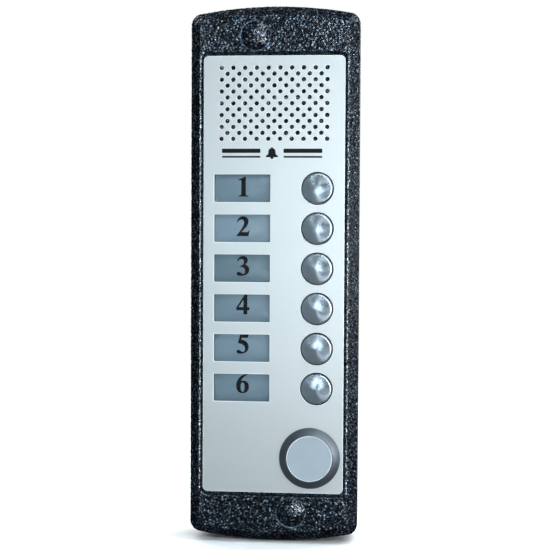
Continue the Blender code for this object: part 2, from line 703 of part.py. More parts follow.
def button_profile():
    """Half section of a button: domed cap, retaining flange and switch stem."""
    flange_top = PLATE_BACK - GAP
    flange_bottom = flange_top - BUTTON_FLANGE_THICKNESS
    profile = dome_profile(BUTTON_RADIUS - BUTTON_EDGE, BUTTON_SHOULDER + BUTTON_EDGE / 2, BUTTON_CROWN, 3)
    profile += [
        (BUTTON_RADIUS - 0.3 * BUTTON_EDGE, BUTTON_SHOULDER),
        (BUTTON_RADIUS, BUTTON_SHOULDER - BUTTON_EDGE),
        (BUTTON_RADIUS, flange_top),
        (BUTTON_FLANGE_RADIUS, flange_top),
        (BUTTON_FLANGE_RADIUS, flange_bottom),
        (BUTTON_STEM_RADIUS, flange_bottom),
        (BUTTON_STEM_RADIUS, BOARD_FACE + GAP + SWITCH_HEIGHT - GAP),
        (0, BOARD_FACE + GAP + SWITCH_HEIGHT - GAP),
    ]
    return profile


def switch_mesh():
    """Square switch with a round well that the button's stem reaches into."""
    bottom = BOARD_FACE + GAP
    blank = box_mesh("switch_blank", (SWITCH_SIDE, SWITCH_SIDE, SWITCH_HEIGHT), bottom)
    body = cutter("switch_blank", blank)
    well_bottom = bottom + SWITCH_WELL_FLOOR
    well = cylinder_mesh("switch_well", SWITCH_WELL_RADIUS, well_bottom, bottom + SWITCH_HEIGHT + PAST, 12)
    cut(body, cutter("switch_well", well))
    bpy.context.view_layer.update()
    return evaluated_mesh(body, "switch")


def spring_curve():
    """Helical spring between the switch and the button's flange."""
    bottom = BOARD_FACE + GAP + SWITCH_HEIGHT + GAP + SPRING_WIRE_RADIUS
    top = PLATE_BACK - GAP - BUTTON_FLANGE_THICKNESS - GAP - SPRING_WIRE_RADIUS
    count = round(SPRING_TURNS * SPRING_POINTS_PER_TURN) + 1
    curve = bpy.data.curves.new("button_spring", "CURVE")
    curve.dimensions = "3D"
    curve.bevel_depth = SPRING_WIRE_RADIUS
    curve.bevel_resolution = 1
    curve.use_fill_caps = True
    spline = curve.splines.new("POLY")
    spline.points.add(count - 1)
    for step, point in enumerate(spline.points):
        angle = math.tau * step / SPRING_POINTS_PER_TURN
        height = bottom + (top - bottom) * step / (count - 1)
        point.co = (SPRING_RADIUS * math.cos(angle), SPRING_RADIUS * math.sin(angle), height, 1)
    return curve


def add_buttons():
    """Six buttons, each with its spring and its switch."""
    shared_switch = switch_mesh()
    shared_spring = spring_curve()
    for index in range(CALL_COUNT):
        location = (BUTTON_X, call_height(index), 0)
        turned_object(f"call_button_{index + 1}", button_profile(), 20, TURNED_STEEL, location)
        node(f"button_spring_{index + 1}", shared_spring, SPRING_STEEL, location)
        node(f"button_switch_{index + 1}", shared_switch, BLACK_PLASTIC, location)


# ---------------------------------------------------------------- key reader


def add_reader():
    """Bevelled ring screwed through the plate, with the reader's disc, aerial coil and nut."""
    location = (*READER_CENTRE, 0)
    flange_bottom = PLATE_FACE + GAP
    inner_wall = READER_DISC_RADIUS + GAP
    ring_profile = [
        (inner_wall, READER_CREST_HEIGHT - 0.1 * MM),
        (inner_wall + 0.1 * MM, READER_CREST_HEIGHT),
        (READER_CREST_RADIUS, READER_CREST_HEIGHT),
        (READER_CREST_RADIUS + 0.25 * MM, READER_CREST_HEIGHT - 0.15 * MM),
        (READER_FLANGE_RADIUS - 0.15 * MM, READER_RIM_HEIGHT + 0.1 * MM),
        (READER_FLANGE_RADIUS, READER_RIM_HEIGHT),
        (READER_FLANGE_RADIUS, flange_bottom),
        (READER_BARREL_RADIUS, flange_bottom),
        (READER_BARREL_RADIUS, READER_BARREL_END),
        (READER_BARREL_BORE, READER_BARREL_END),
        (READER_BARREL_BORE, READER_SEAT_HEIGHT),
        (inner_wall, READER_SEAT_HEIGHT),
    ]
    turned_object("reader_ring", ring_profile, 24, RING_STEEL, location, closed=True)
    plug_radius = READER_BARREL_BORE - GAP
    disc_profile = [
        (0, READER_DISC_FACE),
        (READER_DISC_RADIUS - 0.3 * MM, READER_DISC_FACE),
        (READER_DISC_RADIUS, READER_DISC_FACE - 0.25 * MM),
        (READER_DISC_RADIUS, READER_SEAT_HEIGHT + GAP),
        (plug_radius, READER_SEAT_HEIGHT + GAP),
        (plug_radius, READER_PLUG_END),
        (0, READER_PLUG_END),
    ]
    turned_object("reader_disc", disc_profile, 24, READER_PLASTIC, location)
    coil_bore, coil_radius = READER_COIL
    coil_bottom, coil_top = READER_COIL_SPAN
    coil_profile = [
        (coil_bore, coil_top),
        (coil_radius, coil_top),
        (coil_radius, coil_bottom),
        (coil_bore, coil_bottom),
    ]
    turned_object("reader_coil", coil_profile, 16, COPPER_WIRE, location, closed=True)
    nut_top = PLATE_BACK - GAP
    nut_outlines = [circle((0, 0), READER_NUT_RADIUS, 12), circle((0, 0), READER_HOLE_RADIUS, 20)]
    nut = prism_mesh("reader_nut", nut_outlines, nut_top - READER_NUT_HEIGHT, nut_top)
    node("reader_nut", nut, ZINC_STEEL, location)


# ---------------------------------------------------------------- speaker and microphone


def add_speaker():
    """Splash film, gasket, basket, cone and magnet, from the plate inwards."""
    location = (*GRILLE_CENTRE, 0)
    film_top = PLATE_BACK - GAP
    film_outline = rounded_rectangle(*FILM_SIZE, FILM_CORNER, steps=3)
    film = prism_mesh("splash_film", [film_outline], film_top - FILM_THICKNESS, film_top)
    node("splash_film", film, POLYESTER_FILM, location)
    gasket_top = film_top - FILM_THICKNESS - GAP
    gasket_bottom = gasket_top - SPEAKER_GASKET_THICKNESS
    gasket_profile = [
        (SPEAKER_GASKET_BORE, gasket_top),
        (SPEAKER_RADIUS, gasket_top),
        (SPEAKER_RADIUS, gasket_bottom),
        (SPEAKER_GASKET_BORE, gasket_bottom),
    ]
    turned_object("speaker_gasket", gasket_profile, 20, BLACK_RUBBER, location, closed=True)
    rim_top = gasket_bottom - GAP
    add_basket(rim_top, location)
    add_cone(rim_top, location)
    magnet_top = rim_top - BASKET_DEPTH - GAP
    magnet_profile = [
        (0, magnet_top),
        (MAGNET_RADIUS, magnet_top),
        (MAGNET_RADIUS, magnet_top - MAGNET_HEIGHT),
        (0, magnet_top - MAGNET_HEIGHT),
    ]
    turned_object("speaker_magnet", magnet_profile, 16, DARK_FERRITE, location)


def add_basket(rim_top, location):
    """Pressed basket: flat rim, sloping wall and round back."""
    wall_foot = rim_top - 0.65 * BASKET_DEPTH
    back = rim_top - BASKET_DEPTH
    wall_foot_radius = 0.5 * (BASKET_BACK_RADIUS + SPEAKER_RADIUS) + 0.6 * MM
    profile = [
        (SPEAKER_GASKET_BORE + 0.2 * MM, rim_top),
        (SPEAKER_RADIUS, rim_top),
        (SPEAKER_RADIUS, rim_top - BASKET_SHEET),
        (SPEAKER_GASKET_BORE + 0.4 * MM, rim_top - BASKET_SHEET),
        (wall_foot_radius, wall_foot),
        (BASKET_BACK_RADIUS, back),
        (0, back),
        (0, back + BASKET_SHEET),
        (BASKET_BACK_RADIUS - 0.2 * MM, back + BASKET_SHEET),
        (wall_foot_radius - 0.6 * MM, wall_foot + 0.5 * MM),
        (SPEAKER_GASKET_BORE - 0.2 * MM, rim_top - BASKET_SHEET),
    ]
    turned_object("speaker_basket", profile, 20, ZINC_STEEL, location, closed=True)


def add_cone(rim_top, location):
    """Thin cone with its dust cap in the middle and a raised roll at its edge."""
    heights = {
        0.0: -0.6 * MM,
        0.2: -0.9 * MM,
        0.36: -1.8 * MM,
        0.79: -0.5 * MM,
        0.89: 0.1 * MM,
        1.0: -0.4 * MM,
    }
    upper = [(part * CONE_RADIUS, rim_top + height) for part, height in heights.items()]
    lower = [(radius, height - CONE_SHEET) for radius, height in reversed(upper)]
    turned_object("speaker_cone", upper + lower, 20, BLACK_PAPER, location)


def add_microphone():
    """Capsule in a rubber boot, behind the lower left corner of the grille."""
    location = (*MICROPHONE_CENTRE, 0)
    boot_top = PLATE_BACK - GAP - FILM_THICKNESS - GAP
    boot_bottom = boot_top - BOOT_HEIGHT
    boot_profile = [
        (BOOT_BORE, boot_top),
        (BOOT_RADIUS, boot_top),
        (BOOT_RADIUS, boot_bottom),
        (0, boot_bottom),
        (0, boot_bottom + BOOT_FLOOR),
        (BOOT_BORE, boot_bottom + BOOT_FLOOR),
    ]
    turned_object("microphone_boot", boot_profile, 12, BLACK_RUBBER, location, closed=True)
    capsule_bottom = boot_bottom + BOOT_FLOOR + GAP
    capsule_profile = [
        (0, capsule_bottom + CAPSULE_HEIGHT),
        (CAPSULE_RADIUS, capsule_bottom + CAPSULE_HEIGHT),
        (CAPSULE_RADIUS, capsule_bottom),
        (0, capsule_bottom),
    ]
    turned_object("microphone_capsule", capsule_profile, 12, ZINC_STEEL, location)


# ---------------------------------------------------------------- circuit board


def add_board():
    """Circuit board on the sleeves, with the controller chip and the terminals on its back."""
    outlines = [rounded_rectangle(*BOARD_SIZE, 2.0 * MM, steps=2)]
    for x, y in plate_screw_places():
        outlines.append(circle((x, y), PLATE_SCREW_HOLE_RADIUS, 10))
    node("circuit_board", prism_mesh("circuit_board", outlines, BOARD_BACK, BOARD_FACE), BOARD_GREEN)
    chip_bottom = BOARD_BACK - GAP - CHIP_SIZE[2]
    chip_mesh = box_mesh("controller_chip", CHIP_SIZE, chip_bottom)
    chip = node("controller_chip", chip_mesh, BLACK_PLASTIC, (*CHIP_CENTRE, 0))
    bevel = chip.modifiers.new("soft_edges", "BEVEL")
    bevel.width = CHIP_BEVEL
    bevel.segments = 1


def add_terminal_block():
    """Screw terminals for the riser cable, with one screw well for each way."""
    bottom = BOARD_BACK - GAP - TERMINAL_SIZE[2]
    block_mesh = box_mesh("terminal_block", TERMINAL_SIZE, bottom)
    block = node("terminal_block", block_mesh, TERMINAL_GREEN, (*TERMINAL_CENTRE, 0))
    well_bottom = bottom - PAST
    well_top = bottom + TERMINAL_WELL_DEPTH
    pitch = TERMINAL_SIZE[0] / TERMINAL_WAYS
    for way in range(TERMINAL_WAYS):
        x = TERMINAL_CENTRE[0] + (way - (TERMINAL_WAYS - 1) / 2) * pitch
        well = cylinder_mesh("terminal_well", TERMINAL_WELL_RADIUS, well_bottom, well_top, 10)
        cut(block, cutter(f"terminal_well_{way + 1}", well, (x, TERMINAL_CENTRE[1], 0)))


# ---------------------------------------------------------------- the whole panel

add_housing()
add_wall_plate()
add_wall_gasket()
add_cable_grommet()
add_fixings()
add_front_plate()
add_plate_gasket()
add_plate_screws()
add_name_windows()
add_label_tray()
add_buttons()
add_reader()
add_speaker()
add_microphone()
add_board()
add_terminal_block()
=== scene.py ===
"""Looks of the door intercom entry panel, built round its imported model.

Pieces are modelled lying face up, as the panel lies on a bench: X runs across it, Y runs up it and Z is the
height above the wall. STAND_UP then turns them upright, to where the frame has their nodes.
"""

import json
import math

import bmesh
import bpy
import numpy as np
from mathutils import Euler, Matrix, Vector, noise


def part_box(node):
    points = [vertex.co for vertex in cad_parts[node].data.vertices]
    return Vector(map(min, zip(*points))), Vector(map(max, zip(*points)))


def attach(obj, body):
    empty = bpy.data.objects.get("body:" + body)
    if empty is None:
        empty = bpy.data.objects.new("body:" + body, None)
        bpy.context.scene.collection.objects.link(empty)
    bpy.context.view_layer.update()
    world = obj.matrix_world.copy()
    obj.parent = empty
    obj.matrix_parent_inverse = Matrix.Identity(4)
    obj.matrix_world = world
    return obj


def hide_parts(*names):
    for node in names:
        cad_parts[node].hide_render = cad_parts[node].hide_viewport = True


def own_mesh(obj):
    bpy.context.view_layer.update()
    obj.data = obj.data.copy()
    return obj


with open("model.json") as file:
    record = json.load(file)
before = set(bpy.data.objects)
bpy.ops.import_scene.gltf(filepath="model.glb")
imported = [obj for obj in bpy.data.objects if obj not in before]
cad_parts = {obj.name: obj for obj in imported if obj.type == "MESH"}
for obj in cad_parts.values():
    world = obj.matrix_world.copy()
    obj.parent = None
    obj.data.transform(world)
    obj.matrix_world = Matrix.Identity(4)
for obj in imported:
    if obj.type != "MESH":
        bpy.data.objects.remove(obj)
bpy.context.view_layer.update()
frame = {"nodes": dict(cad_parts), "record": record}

MM = 0.001
STAND_UP = Matrix.Rotation(math.radians(90), 4, "X")
BODY = "panel"
CALL_COUNT = 6
CLEARANCE = 0.3 * MM  # between pieces that sit in or on one another


def linked(name, data):
    """A new object, linked to the scene."""
    obj = bpy.data.objects.new(name, data)
    bpy.context.scene.collection.objects.link(obj)
    return obj


def lying_box(node):
    """A node's lowest and highest corners in the face-up frame."""
    low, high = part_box(node)
    return Vector((low.x, low.z, -high.y)), Vector((high.x, high.z, -low.y))


def lying_centre(node):
    """The middle of a node across and up the panel, at height 0."""
    low, high = lying_box(node)
    return Vector(((low.x + high.x) / 2, (low.y + high.y) / 2, 0))


# ---- camera

VIEW_AZIMUTH = 6.213
VIEW_ELEVATION = 2.297
VIEW_ROLL = 0.284
VIEW_DISTANCE = 576.5 * MM
VIEW_AIM = Vector((0.67 * MM, 0.13 * MM, lying_box("front_plate")[1].z))
VIEW_LENS = 94.48


def towards(azimuth, elevation):
    """The direction this many degrees right of the panel's front and this many up."""
    turn = Euler((0, -math.radians(elevation), math.radians(azimuth - 90)))
    return turn.to_matrix() @ Vector((1, 0, 0))


def add_camera():
    """The camera, in front of the panel and a little to its right."""
    camera = linked("camera", bpy.data.cameras.new("camera"))
    camera.data.lens = VIEW_LENS
    camera.data.clip_start = 10 * MM
    direction = towards(VIEW_AZIMUTH, VIEW_ELEVATION)
    place = Matrix.Translation(STAND_UP @ VIEW_AIM + direction * VIEW_DISTANCE)
    turn = direction.to_track_quat("Z", "Y").to_matrix().to_4x4()
    camera.matrix_world = place @ turn @ Matrix.Rotation(math.radians(VIEW_ROLL), 4, "Z")
    bpy.context.scene.camera = camera


# ---- materials


def per_metre(size):
    """The texture scale whose features are about this large."""
    return 1 / size


# The Mix node's colour sockets, by number because others share their names.
MIX_COLOUR_INPUTS = (0, 6, 7)
MIX_COLOUR_OUTPUT = 2


class Tree:
    """Short ways to add nodes to a node tree."""

    def __init__(self, tree):
        self.tree = tree

    def node(self, kind, inputs=(), **settings):
        """A shader node with its settings, and its inputs as values or as links."""
        made = self.tree.nodes.new("ShaderNode" + kind)
        for key, value in settings.items():
            setattr(made, key, value)
        for key, value in dict(inputs).items():
            self.feed(made.inputs[key], value)
        return made

    def feed(self, socket, value):
        """Sets an input, or links it."""
        if isinstance(value, bpy.types.NodeSocket):
            self.tree.links.new(value, socket)
        elif socket.type == "RGBA" and len(value) == 3:
            socket.default_value = (*value, 1)
        else:
            socket.default_value = value

    def maths(self, operation, *values):
        """Arithmetic on sockets or numbers."""
        return self.node("Math", enumerate(values), operation=operation).outputs[0]

    def vector(self, operation, *values):
        """Arithmetic on vectors: the node's outputs."""
        return self.node("VectorMath", enumerate(values), operation=operation).outputs

    def spread(self, socket, low, high, from_low=0.0, from_high=1.0):
        """A socket's range stretched to another one."""
        source = {"Value": socket, "From Min": from_low, "From Max": from_high}
        return self.node("MapRange", {**source, "To Min": low, "To Max": high}).outputs["Result"]


MATERIALS = {}  # the material of every finish, by name


class Finish(Tree):
    """A procedural material on one Principled shader."""

    def __init__(self, name, **values):
        MATERIALS[name] = bpy.data.materials.new(name)
        MATERIALS[name].use_nodes = True
        super().__init__(MATERIALS[name].node_tree)
        self.shader = self.tree.nodes["Principled BSDF"]
        self.place = self.node("TexCoord").outputs["Object"]
        self.set(**values)

    def set(self, **values):
        """Sets the shader's inputs. A word's underscores stand for spaces."""
        for key, value in values.items():
            self.feed(self.shader.inputs[key.replace("_", " ")], value)

    def surface(self, colour, roughness, relief, **values):
        """Sets the colour, the roughness by what spread needs, and the relief by what bump needs."""
        self.set(Base_Color=colour, Roughness=self.spread(*roughness), Normal=self.bump(*relief), **values)

    def mark(self, name):
        """The values that a mesh carries under this name."""
        return self.node("Attribute", attribute_name=name).outputs["Fac"]

    def noise(self, size, detail=3.0, roughness=0.5, stretch=None):
        """Noise with features of this size, longer along the axes where stretch is above 1."""
        place = self.place
        if stretch:
            shrink = tuple(1 / factor for factor in stretch)
            place = self.vector("MULTIPLY", place, shrink)[0]
        inputs = {"Vector": place, "Scale": per_metre(size), "Detail": detail, "Roughness": roughness}
        return self.node("TexNoise", inputs).outputs["Fac"]

    def cells(self, size, feature="F1", output="Distance"):
        """Cells of this size."""
        inputs = {"Vector": self.place, "Scale": per_metre(size)}
        return self.node("TexVoronoi", inputs, feature=feature).outputs[output]

    def rings(self):
        """Distance from the piece's own axis, for turned marks."""
        flat = self.vector("MULTIPLY", self.place, (1.0, 1.0, 0.0))[0]
        return self.vector("LENGTH", flat)["Value"]

    def blend(self, share, first, second):
        """A colour between two others."""
        made = self.node("Mix", data_type="RGBA")
        factor, first_colour, second_colour = (made.inputs[index] for index in MIX_COLOUR_INPUTS)
        self.feed(factor, share)
        self.feed(first_colour, first)
        self.feed(second_colour, second)
        return made.outputs[MIX_COLOUR_OUTPUT]

    def ramp(self, socket, *stops):
        """Colours along a value, as (position, colour) stops."""
        made = self.node("ValToRGB", {"Fac": socket})
        bar = made.color_ramp
        for element, (position, _) in zip(bar.elements, (stops[0], stops[-1])):
            element.position = position
        for position, _ in stops[1:-1]:
            bar.elements.new(position)
        for element, (position, colour) in zip(bar.elements, stops):
            element.color = (*colour, 1)
        return made.outputs["Color"]

    def bump(self, height, depth, normal=None):
        """A relief as deep as this, on top of another one if a normal is given."""
        inputs = {"Height": height, "Distance": depth, "Strength": 1.0}
        if normal:
            inputs["Normal"] = normal
        return self.node("Bump", inputs).outputs["Normal"]


def hammered_paint():
    """Dark blue-black hammer-finish paint, darker in the relief's valleys as painted shade and with painted
    glints on flecks of the blobs. The narrow ridges carry a painted highlight.
    """
    finish = Finish("hammered_paint", Metallic=0.75, Coat_Weight=0.8, Coat_Roughness=0.1)
    relief = finish.mark("relief")
    patch = finish.noise(6 * MM, 2.0)
    painted_glint_fleck = finish.noise(0.9 * MM, 1.0)
    blobs = finish.cells(0.95 * MM, "SMOOTH_F1")
    fine = finish.noise(0.4 * MM, 2.0)
    ridge = finish.mark("ridge")
    # painted highlight: the paint is paler on the blobs of the narrow ridges
    painted_ridge_highlight = finish.maths("MULTIPLY", ridge, finish.spread(relief, 0.0, 0.75, 0.3, 1.0))
    # painted glints and painted shade: the colour is darkest in the relief's valleys and bright on flecks
    # of the blobs
    painted_glint_and_shade = finish.maths("ADD", finish.maths("MULTIPLY", relief, 0.55), finish.maths("MULTIPLY", painted_glint_fleck, 0.6))
    painted_glint_and_shade = finish.maths("ADD", painted_glint_and_shade, finish.maths("MULTIPLY", patch, 0.15))
    stops = [(0.4, (0.004, 0.005, 0.008)), (0.81, (0.014, 0.02, 0.029)), (1.0, (0.24, 0.33, 0.45))]
    colour = finish.ramp(painted_glint_and_shade, *stops)
    finish.surface(
        finish.blend(painted_ridge_highlight, colour, (0.6, 0.68, 0.76)),
        (fine, 0.2, 0.36),
        (finish.maths("MULTIPLY", blobs, -1.0), 0.3 * MM, finish.bump(fine, 0.04 * MM)),
    )


def satin_silver():
    """Satin anodised sheet: a very fine even grain, and a painted highlight on its edges, which are paler
    and less metallic.
    """
    finish = Finish("satin_silver", Specular_IOR_Level=0.5)
    edge = finish.mark("edge")
    grain = finish.noise(0.3 * MM, 4.0, 0.6)
    cloud = finish.noise(35 * MM, 2.0)
    colour = finish.blend(cloud, (0.665, 0.725, 0.75), (0.725, 0.775, 0.79))
    finish.surface(
        # painted highlight along the sheet's edges
        finish.blend(edge, colour, (0.93, 0.96, 0.98)),
        (grain, 0.38, 0.5),
        (grain, 0.004 * MM),
        Metallic=finish.spread(edge, 0.75, 0.1),
    )


PAINTED_GAP_SHADE = (0.012, 0.014, 0.017)  # painted shade on the sides of the buttons and of the reader's ring, where the gaps round them are


def turned_steel(name, colour, roughness, groove, depth, anisotropy):
    """Steel faced on a lathe: fine rings round the piece's axis, and painted shade on its marked sides."""
    finish = Finish(name, Anisotropic=anisotropy)
    edge = finish.mark("edge")
    distance = finish.rings()
    wobble = finish.maths("MULTIPLY", finish.noise(2.5 * MM), 0.15 * MM)
    turns = finish.maths("MULTIPLY", finish.maths("ADD", distance, wobble), math.tau / groove)
    marks = finish.spread(finish.maths("SINE", turns), 0.0, 1.0, -1.0, 1.0)
    smudge = finish.noise(4 * MM, 3.0)
    shade = tuple(0.8 * channel for channel in colour)
    finish.surface(
        finish.blend(edge, finish.blend(smudge, shade, colour), PAINTED_GAP_SHADE),
        (smudge, roughness * 0.85, roughness * 1.2),
        (marks, depth),
        Metallic=finish.spread(edge, 0.82, 0.3),
        Tangent=finish.node("Tangent", direction_type="RADIAL", axis="Z").outputs[0],
    )


def moulded(name, colour, roughness, grain_size=0.35 * MM, depth=0.01 * MM, painted_edge_highlight=None, **values):
    """Moulded plastic or rubber: a fine spark-eroded grain, and a painted highlight colour of its own on
    marked edges.
    """
    finish = Finish(name, **values)
    grain = finish.noise(grain_size, 3.0, 0.6)
    cloud = finish.noise(9 * MM, 2.0)
    shade = tuple(0.86 * channel for channel in colour)
    edge = finish.mark("edge")
    finish.surface(
        finish.blend(edge, finish.blend(cloud, shade, colour), painted_edge_highlight or colour),
        (grain, roughness * 0.85, min(roughness * 1.15, 1.0)),
        (grain, depth),
    )


def clear_plastic(name, colour, wave_size, wave_depth, haze, roughness, **values):
    """Clear plastic, slightly wavy and with a slightly uneven gloss."""
    finish = Finish(name, **values)
    wave = finish.noise(wave_size, 2.0)
    finish.surface(colour, (finish.noise(*haze), *roughness), (wave, wave_depth))


def label_paper():
    """Grey-blue card with paper fibres."""
    finish = Finish("label_paper", Coat_Weight=1.0, Coat_Roughness=0.14)
    fibre = finish.noise(0.5 * MM, 4.0, 0.65, (3.0, 1.0, 1.0))
    cloud = finish.noise(7 * MM, 2.0)
    crease = finish.noise(5 * MM, 1.0, 0.5, (2.5, 1.0, 1.0))
    fading_and_painted_light = finish.mark("fading_and_painted_light")
    dull = finish.blend(cloud, (0.098, 0.165, 0.215), (0.135, 0.215, 0.27))
    pale = finish.blend(cloud, (0.172, 0.262, 0.335), (0.225, 0.328, 0.41))
    finish.surface(
        # paler by each card's own fading and by painted light towards its right side
        finish.blend(fading_and_painted_light, dull, pale),
        (fibre, 0.5, 0.7),
        (fibre, 0.012 * MM),
        Coat_Normal=finish.bump(crease, 0.6 * MM),
    )


def zinc_steel():
    """Galvanised steel with its pale spangle."""
    finish = Finish("zinc_steel", Metallic=0.8)
    spangle = finish.cells(5 * MM, output="Color")
    level = finish.node("RGBToBW", {"Color": spangle}).outputs[0]
    colour = finish.blend(level, (0.5, 0.53, 0.56), (0.68, 0.7, 0.72))
    finish.surface(colour, (level, 0.3, 0.46), (finish.noise(0.4 * MM, 3.0), 0.006 * MM))


def grained(name, grain, dark, light, roughness, depth, **values):
    """A grain that varies colour, gloss and relief: drawn wire, paper pulp or a film of ink."""
    finish = Finish(name, **values)
    marks = finish.noise(*grain)
    finish.surface(finish.blend(marks, dark, light), (marks, *roughness), (marks, depth))


def board_green():
    """Green solder mask over copper tracks."""
    finish = Finish("board_green", Coat_Weight=0.4, Coat_Roughness=0.15)
    layout = {"Vector": finish.place, "Scale": per_metre(7 * MM), "Mortar Size": 0.05, "Mortar Smooth": 0.2}
    paint = {"Color1": (0.008, 0.11, 0.045), "Color2": (0.01, 0.13, 0.055), "Mortar": (0.02, 0.2, 0.085)}
    tracks = finish.node("TexBrick", {**layout, **paint}).outputs
    finish.surface(tracks["Color"], (finish.noise(1.5 * MM), 0.3, 0.5), (tracks["Fac"], 0.03 * MM))


def copper_wire():
    """Enamelled wire wound in rings."""
    finish = Finish("copper_wire", Metallic=1.0)
    turns = finish.maths("MULTIPLY", finish.rings(), math.tau / (0.3 * MM))
    wire_relief_and_shade = finish.spread(finish.maths("SINE", turns), 0.0, 1.0, -1.0, 1.0)
    # the colour follows the turns' relief: painted shade in the grooves, painted highlight on the crests
    colour = finish.blend(wire_relief_and_shade, (0.3, 0.1, 0.04), (0.75, 0.34, 0.16))
    finish.surface(colour, (finish.noise(1 * MM), 0.25, 0.45), (wire_relief_and_shade, 0.06 * MM))


def make_finishes():
    """Makes every finish that the record's slots and the pieces name."""
    hammered_paint()
    satin_silver()
    turned_steel("turned_steel", (0.45, 0.55, 0.64), 0.28, 0.22 * MM, 0.0006 * MM, 0.88)
    turned_steel("ring_steel", (0.15, 0.176, 0.21), 0.46, 0.16 * MM, 0.002 * MM, 0.3)
    # the disc's rounded edge and side get a pale painted highlight
    moulded("reader_plastic", (0.305, 0.362, 0.415), 0.6, painted_edge_highlight=(0.85, 0.9, 0.95))
    cover = ((0.04, 0.05, 0.06), 6 * MM, 0.06 * MM, (1.2 * MM, 3.0), (0.06, 0.2))
    clear_plastic("clear_acrylic", *cover, Alpha=0.03)
    label_paper()
    moulded("white_plastic", (0.72, 0.73, 0.73), 0.5)
    moulded("black_plastic", (0.022, 0.022, 0.024), 0.45)
    moulded("black_rubber", (0.016, 0.016, 0.016), 0.8, 0.8 * MM, 0.03 * MM)
    zinc_steel()
    wire = ((0.42, 0.43, 0.45), (0.6, 0.6, 0.6))
    grained("spring_steel", (0.15 * MM, 3.0, 0.6), *wire, (0.2, 0.4), 0.004 * MM, Metallic=1.0)
    film = ((0.02, 0.026, 0.032), 3.2 * MM, 1.4 * MM, (0.8 * MM, 2.0), (0.05, 0.16))
    clear_plastic("polyester_film", *film, Alpha=0.5, IOR=1.7)
    pulp = ((0.015, 0.015, 0.015), (0.05, 0.05, 0.052))
    grained("cone_paper", (0.7 * MM, 5.0, 0.7), *pulp, (0.7, 0.95), 0.04 * MM)
    moulded("dark_ferrite", (0.05, 0.05, 0.055), 0.5, 0.5 * MM, 0.02 * MM, Metallic=0.3)
    board_green()
    copper_wire()
    moulded("terminal_green", (0.05, 0.28, 0.1), 0.45)
    ink = ((0.003, 0.004, 0.005), (0.008, 0.009, 0.011))
    grained("printed_ink", (0.5 * MM, 3.0), *ink, (0.45, 0.65), 0.004 * MM, Specular_IOR_Level=0.15)


def finish_cad_nodes():
    """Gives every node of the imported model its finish, by its slot in the record."""
    for part in frame["record"]["subparts"]:
        for material_slot in frame["nodes"][part["node"]].material_slots:
            material_slot.material = MATERIALS[part["material_slot"]]


# ---- making pieces

SHARP_ANGLE = math.radians(32)
LEVEL = 0.9999  # the least upward part of a level face's normal


def shaded(mesh):
    """Smooth shading, but flat on the level faces of sheets and turned pieces."""
    mesh.shade_smooth()
    mesh.set_sharp_from_angle(angle=SHARP_ANGLE)
    for polygon in mesh.polygons:
        polygon.use_smooth = abs(polygon.normal.z) < LEVEL
    return mesh


def set_mark(mesh, name, values, domain="POINT"):
    """Gives a mesh values under a name, which finishes read by Finish.mark."""
    mesh.attributes.new(name, "FLOAT", domain).data.foreach_set("value", values)


def mark_edges(mesh, is_edge):
    """Marks the faces for which is_edge holds, for finishes that paint another colour there: a painted
    highlight on the plate and the reader's disc, painted shade on the buttons and the ring.
    """
    set_mark(mesh, "edge", [float(is_edge(polygon)) for polygon in mesh.polygons], "FACE")


def piece(name, mesh, slot, location=(0, 0, 0), replaces=(), body=BODY, material=None):
    """Stands a face-up mesh upright at its place and lets it ride on its body."""
    mesh.name = name
    mesh.materials.clear()
    mesh.materials.append(MATERIALS[material or slot])
    obj = linked(name, mesh)
    obj.matrix_world = STAND_UP @ Matrix.Translation(location)
    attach(obj, body)
    if replaces:
        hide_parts(*replaces)
    return obj


def mesh_of(obj):
    """The mesh of an object as its modifiers leave it. The object is removed."""
    bpy.context.view_layer.update()
    graph = bpy.context.evaluated_depsgraph_get()
    mesh = bpy.data.meshes.new_from_object(obj.evaluated_get(graph))
    bpy.data.objects.remove(obj)
    return mesh


def welded(mesh, distance=0.002 * MM):
    """A mesh with its coincident points merged and its faces pointing out."""
    work = bmesh.new()
    work.from_mesh(mesh)
    bmesh.ops.remove_doubles(work, verts=work.verts, dist=distance)
    bmesh.ops.recalc_face_normals(work, faces=work.faces)
    work.to_mesh(mesh)
    work.free()
    return mesh


def turned_mesh(profile, steps, closed=False):
    """A turned shape. The profile's (radius, height) points run down its outer side."""
    work = bmesh.new()
    verts = [work.verts.new((radius, 0, height)) for radius, height in profile]
    for first, second in zip(verts, verts[1:]):
        work.edges.new((first, second))
    if closed:
        work.edges.new((verts[-1], verts[0]))
    geometry = list(work.verts) + list(work.edges)
    turn = {"cent": (0, 0, 0), "axis": (0, 0, 1), "angle": math.tau, "steps": steps}
    bmesh.ops.spin(work, geom=geometry, use_merge=True, **turn)
    mesh = bpy.data.meshes.new("turned")
    work.to_mesh(mesh)
    work.free()
    return shaded(welded(mesh))


def add_spline(curve, places):
    """Adds straight steps between places to a curve."""
    spline = curve.splines.new("POLY")
    spline.points.add(len(places) - 1)
    for point, place in zip(spline.points, places):
        point.co = (*place, 1)
    return spline


def sheet_mesh(outlines, bottom, top, edge=0.0, edge_steps=2, swell=0.0):
    """Flat outlines, the first with the others as holes in it, extruded, with every edge rounded.

    With a swell, the outlines grow outwards by that much.
    """
    curve = bpy.data.curves.new("sheet", "CURVE")
    curve.dimensions = "2D"
    curve.fill_mode = "BOTH"
    curve.extrude = (top - bottom) / 2 - edge
    curve.bevel_depth = edge
    curve.offset = swell - edge
    curve.bevel_resolution = edge_steps - 1
    for outline in outlines:
        add_spline(curve, [(x, y, 0) for x, y in outline]).use_cyclic_u = True
    mesh = mesh_of(linked("scratch", curve))
    mesh.transform(Matrix.Translation((0, 0, (top + bottom) / 2)))
    return shaded(welded(mesh))


